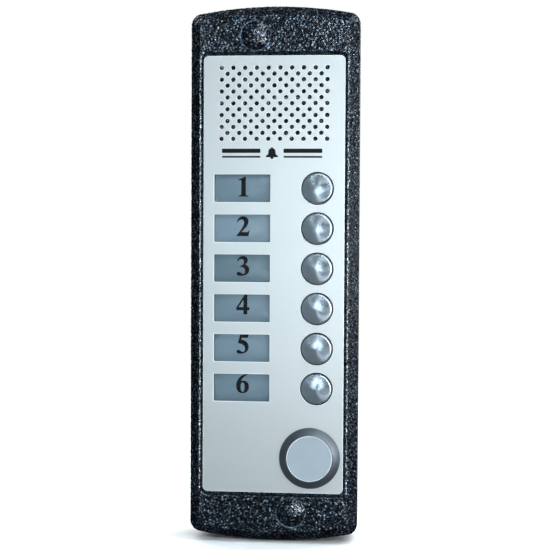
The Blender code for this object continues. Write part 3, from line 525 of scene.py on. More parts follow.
def combined(mesh, tools, operation):
    """A mesh with others cut from it or joined to it."""
    base = linked("scratch", mesh)
    helpers = [linked("scratch", tool) for tool in tools]
    for helper in helpers:
        modifier = base.modifiers.new(operation, "BOOLEAN")
        modifier.object = helper
        modifier.operation = operation
        modifier.solver = "EXACT"
    result = mesh_of(base)
    for helper in helpers:
        bpy.data.objects.remove(helper)
    return result


# ---- outlines and profiles


def arc(centre, radius, start, end, steps):
    """Points of an arc, from one angle to another, in degrees."""
    points = []
    for step in range(steps + 1):
        angle = math.radians(start + (end - start) * step / steps)
        points.append((centre[0] + radius * math.cos(angle), centre[1] + radius * math.sin(angle)))
    return points


def circle(centre, radius, sides):
    """A closed circle, without repeating its first point."""
    return arc(centre, radius, 0, 360, sides)[:-1]


def rounded_rectangle(width, height, radius, centre=(0, 0), steps=8):
    """A rectangle with round corners, counter-clockwise from its lower right corner."""
    points = []
    for corner, (side_x, side_y) in enumerate([(1, -1), (1, 1), (-1, 1), (-1, -1)]):
        middle = (centre[0] + side_x * (width / 2 - radius), centre[1] + side_y * (height / 2 - radius))
        points += arc(middle, radius, -90 + 90 * corner, 90 * corner, steps)
    return points


def rounded_profile(points, radii, steps=4):
    """A profile whose inner corners are rounded. radii holds one radius for each inner point."""
    path = [Vector(points[0])]
    for before, corner, after, radius in zip(points, points[1:], points[2:], radii):
        corner = Vector(corner)
        back = (Vector(before) - corner).normalized()
        onwards = (Vector(after) - corner).normalized()
        half = back.angle(onwards) / 2
        middle = corner + (back + onwards).normalized() * radius / math.sin(half)
        start = corner + back * radius / math.tan(half) - middle
        end = corner + onwards * radius / math.tan(half) - middle
        for step in range(steps + 1):
            path.append(middle + start.slerp(end, step / steps) * radius)
    path.append(Vector(points[-1]))
    return [tuple(point) for point in path]


def subdivided(path, spacing):
    """A path with points added, no further apart than the spacing."""
    points = [path[0]]
    for before, after in zip(path, path[1:]):
        count = max(1, math.ceil(math.dist(before, after) / spacing))
        for step in range(1, count + 1):
            points.append(tuple(a + (b - a) * step / count for a, b in zip(before, after)))
    return points


def dome(radius, edge_height, crown_height, steps):
    """Profile of a shallow dome, from its crown to its edge, as an arc of one sphere."""
    rise = crown_height - edge_height
    sphere = (radius**2 + rise**2) / (2 * rise)
    points = []
    for step in range(steps + 1):
        across = radius * step / steps
        points.append((across, crown_height - sphere + math.sqrt(sphere**2 - across**2)))
    return points


# ---- hammered relief

BLOB_SIZE = 1.15 * MM
BLOB_DEPTH = 0.2 * MM
BLOB_WARP = 0.35  # how far the blobs are pulled out of round, in blob sizes
BLOB_VALLEY = 0.4  # distance over which a blob rises from its edge, in blob sizes
BLOB_SEED = 3  # for the noise that pulls the blobs out of round


def blob_height(place):
    """Height of the paint's blobs at a place, from 0 in a valley to 1 on a blob."""
    spot = Vector(place) / BLOB_SIZE
    spot += noise.noise_vector(spot * 0.9) * BLOB_WARP
    distances = noise.voronoi(spot)[0]
    rise = min((distances[1] - distances[0]) / BLOB_VALLEY, 1.0)
    return rise * (2 - rise)


def hammer(mesh, touched):
    """Sinks the paint's valleys into a mesh, at the vertices that are touched."""
    noise.seed_set(BLOB_SEED)
    count = len(mesh.vertices)
    places = np.empty(count * 3)
    normals = np.empty(count * 3)
    mesh.vertices.foreach_get("co", places)
    mesh.vertex_normals.foreach_get("vector", normals)
    places = places.reshape(-1, 3)
    normals = normals.reshape(-1, 3)
    heights = np.ones(count)
    for index in np.flatnonzero(touched):
        heights[index] = blob_height(places[index])
    places -= normals * ((1 - heights) * BLOB_DEPTH)[:, None]
    mesh.vertices.foreach_set("co", places.ravel())
    set_mark(mesh, "relief", heights)
    mesh.update()
    return mesh


# ---- housing

HOUSING_LOW, HOUSING_HIGH = lying_box("housing")
PLATE_LOW, PLATE_HIGH = lying_box("front_plate")
HALF_WIDTH = HOUSING_HIGH.x
HALF_HEIGHT = HOUSING_HIGH.y
DEPTH = HOUSING_HIGH.z
END_BOW_RADIUS = 170.0 * MM
CORNER_RADIUS = 4.6 * MM
RIM_SLOPE = 4.0 * MM
DRAFT_INSET = 0.9 * MM
OUTSIDE_ROUNDING = (0.3 * MM, 0.9 * MM, 0.4 * MM)  # at the back, where the rim starts and where it ends
HOUSING_WALL = 4.0 * MM
LEDGE_TOP = 21.0 * MM
LEDGE_UNDERSIDE = 19.0 * MM
POCKET_GAP = 0.9 * MM
POCKET_LIP = 0.35 * MM
RIDGE_WIDTH = 1.2 * MM  # where the land is narrower than this, it is a ridge
POCKET_END_GAP = 1.35 * MM
PLATE_RADIUS = 2.0 * MM
LEDGE_OPENING = (54.0 * MM, 173.0 * MM)
LEDGE_OPENING_RADIUS = 12.0 * MM
REBATE_INSET = 1.7 * MM
REBATE_DEPTH = 2.6 * MM
SKIN_SPACING = 0.34 * MM  # size of the housing's mesh, fine enough for the blobs
LAND_ROWS = 36

CAP_SEAT_RADIUS = 6.2 * MM
CAP_SEAT_FLOOR = DEPTH - 0.8 * MM
CAP_SEAT_LIP = 0.22 * MM
FIXING_BORE_RADIUS = 4.3 * MM


def bow_geometry(inset=0.0):
    """Corner radius, corner centre, bow radius, bow centre and the angle where the corner meets the bow."""
    radius = CORNER_RADIUS - inset
    bow = END_BOW_RADIUS - inset
    bow_centre = HALF_HEIGHT - END_BOW_RADIUS
    corner_x = HALF_WIDTH - inset - radius
    corner_y = bow_centre + math.sqrt((bow - radius) ** 2 - corner_x**2)
    return radius, (corner_x, corner_y), bow, bow_centre, math.atan2(corner_y - bow_centre, corner_x)


def outer_quarter():
    """A quarter of the housing's outline, from the right side's middle to the top: (points, normals)."""
    radius, corner, bow, bow_centre, meet = bow_geometry()
    steps = math.ceil(corner[1] / SKIN_SPACING)
    rows = [((HALF_WIDTH, corner[1] * step / steps), (1.0, 0.0)) for step in range(steps)]
    steps = math.ceil(radius * meet / SKIN_SPACING) + 4
    bends = [(corner, radius, meet * step / steps) for step in range(steps)]
    rest = math.pi / 2 - meet
    steps = math.ceil(bow * rest / SKIN_SPACING)
    bends += [((0, bow_centre), bow, meet + rest * step / steps) for step in range(steps + 1)]
    for (x, y), reach, angle in bends:
        normal = (math.cos(angle), math.sin(angle))
        rows.append(((x + reach * normal[0], y + reach * normal[1]), normal))
    points, normals = zip(*rows)
    return np.array(points), np.array(normals)


def inner_quarter(outer, half_width, half_height, radius):
    """For each point of the outer quarter, its partner on a rounded rectangle: (points, normals)."""
    lengths = np.concatenate([[0], np.cumsum(np.linalg.norm(np.diff(outer, axis=0), axis=1))])
    corner_x = half_width - radius
    corner_y = half_height - radius
    start = np.interp(corner_y, outer[:, 1], lengths)
    end = np.interp(-corner_x, -outer[:, 0], lengths)
    angles = np.clip((lengths - start) / (end - start), 0, 1) * math.pi / 2
    normals = np.stack([np.cos(angles), np.sin(angles)], 1)
    points = np.array([corner_x, corner_y]) + radius * normals
    on_side = lengths < start
    points[on_side, 1] = outer[on_side, 1]
    on_end = lengths > end
    points[on_end, 0] = outer[on_end, 0]
    return points, normals


def all_round(points):
    """A quarter's points carried round all four quarters, with no point twice."""
    top = np.concatenate([points, (points * (-1, 1))[-2:0:-1]])
    return np.concatenate([top, -top])


def housing_mesh():
    """The housing as one skin, swept round the outline: outside, rim, land, pocket, ledge and inside."""
    quarter, quarter_normals = outer_quarter()
    pocket_size = (PLATE_HIGH.x + POCKET_GAP, PLATE_HIGH.y + POCKET_END_GAP, PLATE_RADIUS + POCKET_GAP)
    pocket, pocket_normals = inner_quarter(quarter, *pocket_size)
    opening, _ = inner_quarter(quarter, LEDGE_OPENING[0] / 2, LEDGE_OPENING[1] / 2, LEDGE_OPENING_RADIUS)
    outer, outer_normals = all_round(quarter), all_round(quarter_normals)
    pocket, pocket_normals = all_round(pocket), all_round(pocket_normals)
    opening = all_round(opening)

    def ring(base, normals, offset, height):
        places = base + normals * offset
        return np.column_stack([places, np.full(len(places), height)])

    side = [(REBATE_INSET, 0), (DRAFT_INSET, 0), (0, DEPTH - RIM_SLOPE)]
    rim = [(RIM_SLOPE, DEPTH), (RIM_SLOPE + 0.4 * MM, DEPTH)]
    outside = rounded_profile(side + rim, OUTSIDE_ROUNDING)[:-1]
    rings = [ring(outer, outer_normals, -inset, z) for inset, z in subdivided(outside, SKIN_SPACING)]
    lip = rounded_profile([(0.6 * MM, DEPTH), (0, DEPTH), (0, LEDGE_TOP)], (POCKET_LIP,), 6)[1:]
    land_start = rings[-1]
    first_land_ring = len(rings) - 1
    land_end = ring(pocket, pocket_normals, lip[0][0], DEPTH)
    for row in range(1, LAND_ROWS):
        rings.append(land_start + (land_end - land_start) * row / LAND_ROWS)
    rings += [ring(pocket, pocket_normals, offset, z) for offset, z in subdivided(lip, SKIN_SPACING)]
    painted_rings = len(rings) - 3
    rings += [np.column_stack([opening, np.full(len(opening), z)]) for z in (LEDGE_TOP, LEDGE_UNDERSIDE)]
    rings.append(ring(outer, outer_normals, -HOUSING_WALL, LEDGE_UNDERSIDE))
    rings.append(ring(outer, outer_normals, -HOUSING_WALL, REBATE_DEPTH))
    rings.append(ring(outer, outer_normals, -REBATE_INSET, REBATE_DEPTH))
    columns = len(outer)
    count = len(rings)
    places = np.concatenate(rings)
    first = np.arange(count)[:, None] * columns
    after = (np.arange(count)[:, None] + 1) % count * columns
    column = np.arange(columns)[None, :]
    beside = (column + 1) % columns
    faces = np.stack([first + column, first + beside, after + beside, after + column], 2).reshape(-1, 4)
    mesh = bpy.data.meshes.new("housing")
    mesh.from_pydata(places.tolist(), [], faces.tolist())
    mesh.shade_smooth()
    touched = np.arange(len(places)) < painted_rings * columns
    touched[:columns] = False
    # the narrow land is marked for the paint's painted ridge highlight
    narrow = np.linalg.norm(land_end - land_start, axis=1) < RIDGE_WIDTH
    ridge = np.zeros((count, columns))
    ridge[first_land_ring : first_land_ring + LAND_ROWS + 4] = narrow
    set_mark(mesh, "ridge", ridge.ravel())
    return hammer(mesh, touched)


def seat_cutter(x, y):
    """Counterbore with a soft lip, and the bore of the fixing below it."""
    above = DEPTH + 1 * MM
    profile = [(0, above), (CAP_SEAT_RADIUS + CAP_SEAT_LIP, above)]
    profile += arc((CAP_SEAT_RADIUS + CAP_SEAT_LIP, DEPTH - CAP_SEAT_LIP), -CAP_SEAT_LIP, -90, 0, 4)
    bottom = LEDGE_UNDERSIDE - 1 * MM
    profile += [(CAP_SEAT_RADIUS, CAP_SEAT_FLOOR), (FIXING_BORE_RADIUS, CAP_SEAT_FLOOR)]
    profile += [(FIXING_BORE_RADIUS, bottom), (0, bottom)]
    mesh = turned_mesh(profile, 96)
    mesh.transform(Matrix.Translation((x, y, 0)))
    return mesh


def add_housing():
    """The painted casting, with a seat for each cap."""
    seats = [seat_cutter(*lying_centre(name).xy) for name in ("top_cap", "bottom_cap")]
    mesh = combined(housing_mesh(), seats, "DIFFERENCE")
    piece("housing_shell", mesh, "hammered_paint", replaces=["housing"])


# ---- caps

CAP_EDGE = 0.5 * MM
CAP_STEM_RADIUS = 4.0 * MM


def add_cap(name):
    """A domed cap, painted with the housing."""
    low, high = lying_box(name)
    radius = (high.x - low.x) / 2
    base = CAP_SEAT_FLOOR + CLEARANCE
    profile = dome(radius - 0.25 * MM, base + CAP_EDGE + 0.12 * MM, high.z, 18)
    profile += [(radius - 0.08 * MM, base + CAP_EDGE), (radius, base + CAP_EDGE - 0.2 * MM), (radius, base)]
    profile += [(CAP_STEM_RADIUS, base), (CAP_STEM_RADIUS, low.z), (0, low.z)]
    mesh = turned_mesh(profile, 110)
    mesh.shade_smooth()
    mesh.set_sharp_from_angle(angle=SHARP_ANGLE)
    heights = np.array([vert.co.z for vert in mesh.vertices])
    place = lying_centre(name)
    mesh.transform(Matrix.Translation(place))
    hammer(mesh, heights > base + CAP_EDGE / 2)
    mesh.transform(Matrix.Translation(-place))
    piece(f"{name}_dome", mesh, "hammered_paint", place, [name])


# ---- front plate

GRILLE_PITCH = 4.7 * MM
GRILLE_ROWS = 13
GRILLE_LONG_ROW = 10
GRILLE_HOLE_RADIUS = 0.93 * MM
GRILLE_CENTRE = lying_centre("splash_film")
WINDOW_OPENING = (22.6 * MM, 11.1 * MM)
WINDOW_CORNER = 0.3 * MM
BUTTON_HOLE_RADIUS = 6.55 * MM
READER_HOLE_RADIUS = 9.5 * MM
PLATE_THICKNESS = 1.5 * MM
PLATE_EDGE = 0.18 * MM
BUSH_RADIUS = 1.75 * MM
BUSH_BORE = 1.2 * MM


def grille_holes():
    """Centres of the speaker holes, row by row."""
    centres = []
    for row in range(GRILLE_ROWS):
        count = GRILLE_LONG_ROW - row % 2
        y = GRILLE_CENTRE.y + (row - (GRILLE_ROWS - 1) / 2) * GRILLE_PITCH / 2
        for column in range(count):
            centres.append((GRILLE_CENTRE.x + (column - (count - 1) / 2) * GRILLE_PITCH, y))
    return centres


def add_front_plate():
    """The satin sheet with round holes and softened edges, and the bushes on its back."""
    outlines = [rounded_rectangle(*(PLATE_HIGH - PLATE_LOW).xy, PLATE_RADIUS)]
    for number in range(1, CALL_COUNT + 1):
        window = lying_centre(f"name_window_{number}")
        outlines.append(rounded_rectangle(*WINDOW_OPENING, WINDOW_CORNER, window.xy, 3))
        outlines.append(circle(lying_centre(f"call_button_{number}").xy, BUTTON_HOLE_RADIUS, 72))
    outlines.append(circle(lying_centre("reader_ring").xy, READER_HOLE_RADIUS, 72))
    outlines += [circle(centre, GRILLE_HOLE_RADIUS, 20) for centre in grille_holes()]
    top = PLATE_HIGH.z
    sheet = sheet_mesh(outlines, top - PLATE_THICKNESS, top, PLATE_EDGE)
    bushes = []
    for number in range(1, 5):
        x, y = lying_centre(f"plate_screw_{number}").xy
        rings = [circle((x, y), BUSH_RADIUS, 32), circle((x, y), BUSH_BORE, 24)]
        bushes.append(sheet_mesh(rings, PLATE_LOW.z, top - PLATE_THICKNESS + 0.4 * MM))
    mesh = combined(sheet, bushes, "UNION")
    # the sloping faces round the sheet's edges and holes get the painted highlight
    mark_edges(mesh, lambda polygon: 1 - LEVEL < polygon.normal.z < LEVEL)
    piece("front_sheet", mesh, "satin_silver", replaces=["front_plate"])


# ---- printed mark

INK_THICKNESS = 0.02 * MM
INK_GAP = 0.005 * MM
MARK_CENTRE = (-0.8 * MM, 48.6 * MM)
MARK_HALF_WIDTH = 20.1 * MM
MARK_HEIGHT = 4.8 * MM


def print_on(name, outlines, height, swell=0.0):
    """A thin film of ink on a face at this height."""
    bottom = height + INK_GAP
    mesh = sheet_mesh(outlines, bottom, bottom + INK_THICKNESS, swell=swell)
    piece(name, mesh, "black_plastic", material="printed_ink")


def bell_outline(centre, height):
    """A plain bell: round crown, flared mouth and clapper."""
    x, y = centre
    unit = height / 10
    right = [(5 * unit, -3.2 * unit), (5 * unit, -2.4 * unit)]
    right += arc((5.6 * unit, 0.6 * unit), -2.6 * unit, 80, 0, 6)
    right += arc((0, 1.4 * unit), 3.0 * unit, 8, 78, 8)
    right += arc((0, 4.5 * unit), 0.7 * unit, -40, 90, 5)
    clapper = arc((0, -3.2 * unit), 1.5 * unit, -90, 0, 6)
    half = clapper + right
    whole = half + [(-px, py) for px, py in reversed(half)][1:-1]
    return [(x + px, y + py) for px, py in whole]


def add_mark():
    """A generic mark, made for this model: a bell between two pairs of rules."""
    x, y = MARK_CENTRE
    height = PLATE_HIGH.z
    print_on("mark_bell", [bell_outline((x, y), MARK_HEIGHT)], height)
    inner = 4.6 * MM
    length = MARK_HALF_WIDTH - inner
    for side, word in ((-1, "left"), (1, "right")):
        middle = x + side * (inner + length / 2)
        for row, thickness, rise in (("upper", 1.7 * MM, 1.0 * MM), ("lower", 0.7 * MM, -1.4 * MM)):
            rule = rounded_rectangle(length, thickness, 0.3 * MM, (middle, y + rise), 3)
            print_on(f"mark_rule_{word}_{row}", [rule], height)


# ---- name windows, cards and numerals

WINDOW_FLANGE_STEP = 1.2 * MM
WINDOW_FLANGE_THICKNESS = 1.2 * MM
CARD_FADING = [0.38, 0.92, 0.0, 0.4, 0.55, 0.25]  # how much paler the light has made each card
CARD_SIDE_PAINTED_LIGHT = 0.35  # painted light: how much paler each card gets towards its right side, against the plate's shadow there
NUMERAL_HEIGHT = 7.8 * MM
NUMERAL_UNITS = 690
NUMERAL_SWELL = 0.09 * MM
NUMERAL_DROPS = [0.95, 0.85, 0.8, 0.35, 0.3, 0.3]  # below the top edge of the opening, in millimetres

# Each numeral is a list of closed outlines on a grid 690 units tall: a start point, then straight steps
# (x, y) and curved steps (x1, y1, x2, y2, x, y) with their two handles.
NUMERALS = {
    1: [
        [(68, 570), (105, 583, 130, 588, 150, 580), (172, 572, 178, 555, 178, 510), (178, 110),
         (178, 48, 165, 24, 85, 20), (85, 0), (420, 0), (420, 20), (345, 24, 326, 45, 326, 110), (326, 690),
         (300, 690), (235, 655, 150, 618, 68, 590)],
    ],
    2: [
        [(470, 190), (448, 190), (435, 150, 420, 130, 380, 130), (160, 130), (290, 260, 428, 380, 428, 520),
         (428, 625, 350, 690, 240, 690), (130, 690, 60, 620, 28, 500), (48, 495),
         (80, 560, 125, 590, 175, 590), (245, 590, 285, 545, 285, 475), (285, 350, 150, 190, 18, 18),
         (18, 0), (430, 0)],
    ],
    3: [
        [(35, 520), (75, 635, 140, 690, 235, 690), (330, 690, 400, 635, 400, 550),
         (400, 480, 365, 430, 300, 395), (405, 360, 458, 295, 458, 215), (458, 80, 350, 0, 165, 0),
         (75, 0, 20, 20, 20, 62), (20, 97, 48, 122, 85, 122), (115, 122, 140, 110, 175, 82),
         (200, 62, 220, 48, 245, 48), (290, 48, 320, 88, 320, 150), (320, 250, 265, 310, 150, 318),
         (150, 338), (235, 355, 278, 415, 278, 490), (278, 555, 240, 595, 180, 595),
         (130, 595, 90, 570, 55, 512)],
    ],
    4: [
        [(400, 690), (320, 690), (20, 235), (20, 145), (275, 145), (275, 0), (400, 0), (400, 145),
         (475, 145), (475, 240), (400, 240)],
        [(275, 240), (275, 535), (80, 240)],
    ],
    5: [
        [(445, 690), (400, 570), (185, 570), (165, 495), (330, 475, 440, 375, 440, 240),
         (440, 90, 320, 0, 155, 0), (70, 0, 20, 22, 20, 65), (20, 98, 45, 120, 82, 120),
         (112, 120, 140, 107, 170, 82), (195, 62, 215, 50, 240, 50), (295, 50, 325, 100, 325, 172),
         (325, 290, 220, 365, 65, 372), (150, 676), (400, 676), (425, 690)],
    ],
    6: [
        [(460, 690), (460, 670), (330, 640, 225, 545, 195, 410), (225, 428, 255, 435, 290, 435),
         (400, 435, 475, 347, 475, 222), (475, 88, 385, 0, 250, 0), (115, 0, 28, 98, 28, 268),
         (28, 480, 200, 665, 460, 690)],
        [(255, 384), (200, 384, 176, 330, 176, 235), (176, 100, 200, 36, 255, 36),
         (308, 36, 332, 85, 332, 200), (332, 320, 305, 384, 255, 384)],
    ],
}
CURVE_STEPS = 8


def drawn_outline(steps):
    """The points of one outline of straight and curved steps."""
    points = [steps[0]]
    for step in steps[1:]:
        if len(step) == 2:
            points.append(step)
            continue
        handles = [Vector(points[-1]), Vector(step[:2]), Vector(step[2:4]), Vector(step[4:])]
        for index in range(1, CURVE_STEPS + 1):
            t = index / CURVE_STEPS
            weights = ((1 - t) ** 3, 3 * (1 - t) ** 2 * t, 3 * (1 - t) * t**2, t**3)
            pulls = [weight * handle for weight, handle in zip(weights, handles)]
            points.append(tuple(sum(pulls, Vector((0, 0)))))
    if math.dist(points[0], points[-1]) < 1:
        points.pop()
    return points


def numeral_outlines(number, middle, top):
    """A numeral's outlines, centred across and hung from a height."""
    unit = NUMERAL_HEIGHT / NUMERAL_UNITS
    drawn = [drawn_outline(outline) for outline in NUMERALS[number]]
    across = [x for x, _ in drawn[0]]
    centre = (min(across) + max(across)) / 2
    return [
        [(middle + (x - centre) * unit, top + (y - NUMERAL_UNITS) * unit) for x, y in outline]
        for outline in drawn
    ]


def window_mesh(number):
    """A clear cover: a flange behind the plate and a softly edged boss in its opening."""
    low, high = lying_box(f"name_window_{number}")
    width, height = (high - low).xy
    outline = rounded_rectangle(width, height, 0.4 * MM, steps=3)
    flange = sheet_mesh([outline], low.z, low.z + WINDOW_FLANGE_THICKNESS, 0.1 * MM)
    step = 2 * WINDOW_FLANGE_STEP
    outline = rounded_rectangle(width - step, height - step, WINDOW_CORNER, steps=3)
    boss = sheet_mesh([outline], low.z + WINDOW_FLANGE_THICKNESS / 2, high.z, 0.16 * MM)
    return combined(flange, [boss], "UNION")


def card_mesh(number):
    """A paper card with its own fading, and painted light that grows towards its right side."""
    low, high = lying_box(f"name_card_{number}")
    width, height = (high - low).xy
    outline = rounded_rectangle(width, height, 0.5 * MM, steps=3)
    mesh = sheet_mesh([outline], low.z, high.z, 0.05 * MM, 1)
    across = [max(vert.co.x / width, 0) for vert in mesh.vertices]
    set_mark(mesh, "fading_and_painted_light", [CARD_FADING[number - 1] + CARD_SIDE_PAINTED_LIGHT * share for share in across])
    return mesh


def add_name_row(number):
    """One window with its card and its printed numeral."""
    window = f"name_window_{number}"
    centre = lying_centre(window)
    piece(f"window_cover_{number}", window_mesh(number), "clear_acrylic", centre, [window])
    card = f"name_card_{number}"
    piece(f"card_{number}", card_mesh(number), "label_paper", lying_centre(card), [card])
    top = centre.y + WINDOW_OPENING[1] / 2 - NUMERAL_DROPS[number - 1] * MM
    outlines = numeral_outlines(number, centre.x, top)
    print_on(f"numeral_{number}", outlines, lying_box(card)[1].z, NUMERAL_SWELL)


# ---- call buttons

BUTTON_FLANGE_THICKNESS = 1.0 * MM
BUTTON_STEM_RADIUS = 1.6 * MM
BUTTON_RADIUS = 6.07 * MM
BUTTON_SHOULDER = 24.2 * MM
BUTTON_EDGE = 0.45 * MM
BUTTON_GAP_SHADE_REACH = 0.06 * MM  # how far the painted shade of the gap reaches in from the side
SPRING_WIRE_RADIUS = 0.25 * MM
SPRING_RADIUS = 2.5 * MM
SPRING_TURNS = 5
SPRING_STEPS = 20  # points in each turn


def button_mesh(number):
    """A turned button: shallow dome, soft shoulder, retaining flange and stem."""
    low, high = lying_box(f"call_button_{number}")
    flange_radius = (high.x - low.x) / 2
    flange_top = PLATE_HIGH.z - PLATE_THICKNESS - CLEARANCE
    profile = dome(BUTTON_RADIUS - BUTTON_EDGE, BUTTON_SHOULDER + BUTTON_EDGE / 2, high.z, 20)
    shoulder = (BUTTON_RADIUS - 0.1 * BUTTON_EDGE, BUTTON_SHOULDER + 0.1 * BUTTON_EDGE)
    profile += rounded_profile([profile[-1], shoulder, (BUTTON_RADIUS, flange_top)], (0.35 * MM,), 6)[1:]
    flange_bottom = flange_top - BUTTON_FLANGE_THICKNESS
    profile += [(flange_radius, flange_top), (flange_radius, flange_bottom)]
    profile += [(BUTTON_STEM_RADIUS, flange_bottom), (BUTTON_STEM_RADIUS, low.z), (0, low.z)]
    button = turned_mesh(profile, 96)
    # the button's side and flange get the painted shade of the gap round it
    mark_edges(button, lambda polygon: polygon.center.xy.length > BUTTON_RADIUS - BUTTON_GAP_SHADE_REACH)
    return button


def spring_mesh(low, high):
    """A coil spring between two heights, centred on its own axis."""
    curve = bpy.data.curves.new("spring", "CURVE")
    curve.dimensions = "3D"
    curve.bevel_depth = SPRING_WIRE_RADIUS
    curve.bevel_resolution = 3
    curve.use_fill_caps = True
    coil = []
    for step in range(SPRING_TURNS * SPRING_STEPS + 1):
        angle = math.tau * step / SPRING_STEPS
        height = low + (high - low) * step / (SPRING_TURNS * SPRING_STEPS)
        coil.append((SPRING_RADIUS * math.cos(angle), SPRING_RADIUS * math.sin(angle), height))
    add_spline(curve, coil)
    mesh = welded(mesh_of(linked("scratch", curve)))
    mesh.shade_smooth()
    return mesh


def add_button(number):
    """One button, which moves on a body of its own, and its spring, which stays as it is on the panel."""
    centre = lying_centre(f"call_button_{number}")
    name = f"call_button_{number}"
    piece(f"button_cap_{number}", button_mesh(number), "turned_steel", centre, [name], body=name)
    low, high = lying_box(f"button_spring_{number}")
    mesh = spring_mesh(low.z + SPRING_WIRE_RADIUS, high.z - SPRING_WIRE_RADIUS)
    spring = piece(f"spring_{number}", mesh, "spring_steel", centre, [f"button_spring_{number}"])
    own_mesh(spring)


# ---- key reader

READER_GAP = 0.15 * MM  # between the disc and the ring
READER_DISC_EDGE = 0.3 * MM
READER_RIM_HEIGHT = 24.3 * MM
READER_BARREL_RADIUS = 9.2 * MM
READER_BARREL_BORE = 7.8 * MM
READER_SEAT_HEIGHT = 24.6 * MM


def add_reader():
    """The bevelled ring and the disc that keys are held to."""
    centre = lying_centre("reader_ring")
    low, high = lying_box("reader_ring")
    disc_low, disc_high = lying_box("reader_disc")
    radius = (high.x - low.x) / 2
    inner_wall = (disc_high.x - disc_low.x) / 2 + CLEARANCE
    flange_bottom = PLATE_HIGH.z + CLEARANCE
    bevel = [(inner_wall, high.z), (radius, READER_RIM_HEIGHT)]
    profile = [(inner_wall, READER_SEAT_HEIGHT), *bevel, (radius, flange_bottom)]
    profile = rounded_profile(profile, (0.1 * MM, 0.12 * MM), 5)
    profile += [(READER_BARREL_RADIUS, flange_bottom), (READER_BARREL_RADIUS, low.z)]
    profile += [(READER_BARREL_BORE, low.z), (READER_BARREL_BORE, READER_SEAT_HEIGHT)]
    ring = turned_mesh(profile, 144, closed=True)
    # the ring's sides below its rim get the painted shade of the gap round it
    mark_edges(ring, lambda polygon: polygon.center.z < READER_RIM_HEIGHT - 0.1 * MM)
    piece("bevel_ring", ring, "ring_steel", centre, ["reader_ring"])
    disc_radius = inner_wall - READER_GAP
    disc_bottom = READER_SEAT_HEIGHT + CLEARANCE
    plug_radius = READER_BARREL_BORE - CLEARANCE
    face = [(0, disc_high.z), (disc_radius, disc_high.z), (disc_radius, disc_bottom)]
    profile = rounded_profile(face, (READER_DISC_EDGE,), 6)
    profile += [(plug_radius, disc_bottom), (plug_radius, disc_low.z), (0, disc_low.z)]
    disc = turned_mesh(profile, 144)
    # the disc's rounded edge and side carry the painted highlight
    mark_edges(disc, lambda polygon: polygon.center.xy.length > disc_radius - READER_DISC_EDGE)
    piece("key_disc", disc, "reader_plastic", centre, ["reader_disc"])


# ---- the back

WALL_PLATE_INSET = 2.0 * MM
WALL_PLATE_THICKNESS = 1.5 * MM
WALL_HOLE_X = 20.0 * MM
WALL_HOLE_Y = 70.0 * MM
WALL_HOLE_RADIUS = 2.6 * MM
INLET_RADIUS = 6.0 * MM
STANDOFF_RADIUS = 4.2 * MM
STANDOFF_BORE = 2.3 * MM
GROMMET_BORE = 3.6 * MM
GROMMET_EDGES = [edge * MM for edge in (0.5, 0.5, 0.3, 0.2, 0.4, 0.5)]  # from its bore round its flange


def plate_outline(inset):
    """The housing's outline moved inwards, as a closed loop."""
    radius, corner, bow, bow_centre, meet = bow_geometry(inset)
    degrees = math.degrees(meet)
    top = arc(corner, radius, 0, degrees, 8)
    top += arc((0, bow_centre), bow, degrees, 180 - degrees, 40)[1:]
    top += arc((-corner[0], corner[1]), radius, 180 - degrees, 180, 8)[1:]
    return top + [(-x, -y) for x, y in top]


def add_wall_plate():
    """The galvanised back plate with softened edges and its two standoffs."""
    inlet = lying_centre("cable_grommet")
    outlines = [plate_outline(WALL_PLATE_INSET), circle(inlet.xy, INLET_RADIUS, 48)]
    holes = [(x, y) for x in (-WALL_HOLE_X, WALL_HOLE_X) for y in (-WALL_HOLE_Y, WALL_HOLE_Y)]
    outlines += [circle(hole, WALL_HOLE_RADIUS, 36) for hole in holes]
    top = lying_box("wall_plate")[1].z
    sheet = sheet_mesh(outlines, 0, WALL_PLATE_THICKNESS, 0.2 * MM)
    standoffs = []
    for name in ("top_cap", "bottom_cap"):
        centre = lying_centre(name).xy
        rings = [circle(centre, STANDOFF_RADIUS, 48), circle(centre, STANDOFF_BORE, 32)]
        standoffs.append(sheet_mesh(rings, WALL_PLATE_THICKNESS / 2, top, 0.15 * MM))
    piece("back_plate", combined(sheet, standoffs, "UNION"), "zinc_steel", replaces=["wall_plate"])


def add_grommet():
    """The rubber grommet of the cable inlet, with round edges."""
    low, high = lying_box("cable_grommet")
    radius = (high.x - low.x) / 2
    flange_bottom = WALL_PLATE_THICKNESS + CLEARANCE
    throat = INLET_RADIUS - CLEARANCE
    middle = (low.z + high.z) / 2
    inside = [(GROMMET_BORE, middle), (GROMMET_BORE, high.z)]
    flange = [(radius, high.z), (radius, flange_bottom), (throat, flange_bottom)]
    back = [(throat, low.z), (GROMMET_BORE, low.z), (GROMMET_BORE, middle - 0.1 * MM)]
    profile = rounded_profile(inside + flange + back, GROMMET_EDGES)
    mesh = turned_mesh(profile, 64, closed=True)
    piece("inlet_grommet", mesh, "black_rubber", lying_centre("cable_grommet"), ["cable_grommet"])


# ---- floor, lights and world

FLOOR_FADE = (0.15, 0.8)  # the floor thins out between these distances


def add_floor():
    """A plain pale floor under the panel, which fades into the pale studio round it."""
    finish = Finish("floor", Roughness=0.9)
    colour = finish.blend(finish.noise(60 * MM, 2.0), (0.94, 0.945, 0.95), (0.97, 0.972, 0.975))
    finish.set(Base_Color=colour, Alpha=finish.spread(finish.rings(), 1.0, 0.0, *FLOOR_FADE))
    rim = [(x, y, 0) for x, y in circle((0, 0), FLOOR_FADE[1], 96)]
    mesh = bpy.data.meshes.new("floor")
    mesh.from_pydata(rim, [], [range(len(rim))])
    mesh.materials.append(MATERIALS["floor"])
    floor = linked("floor", mesh)
    floor.location.z = HOUSING_LOW.y - 0.5 * MM
    floor.visible_glossy = False


COOL = (0.86, 0.955, 1.0)
NEUTRAL = (1.0, 1.0, 1.0)
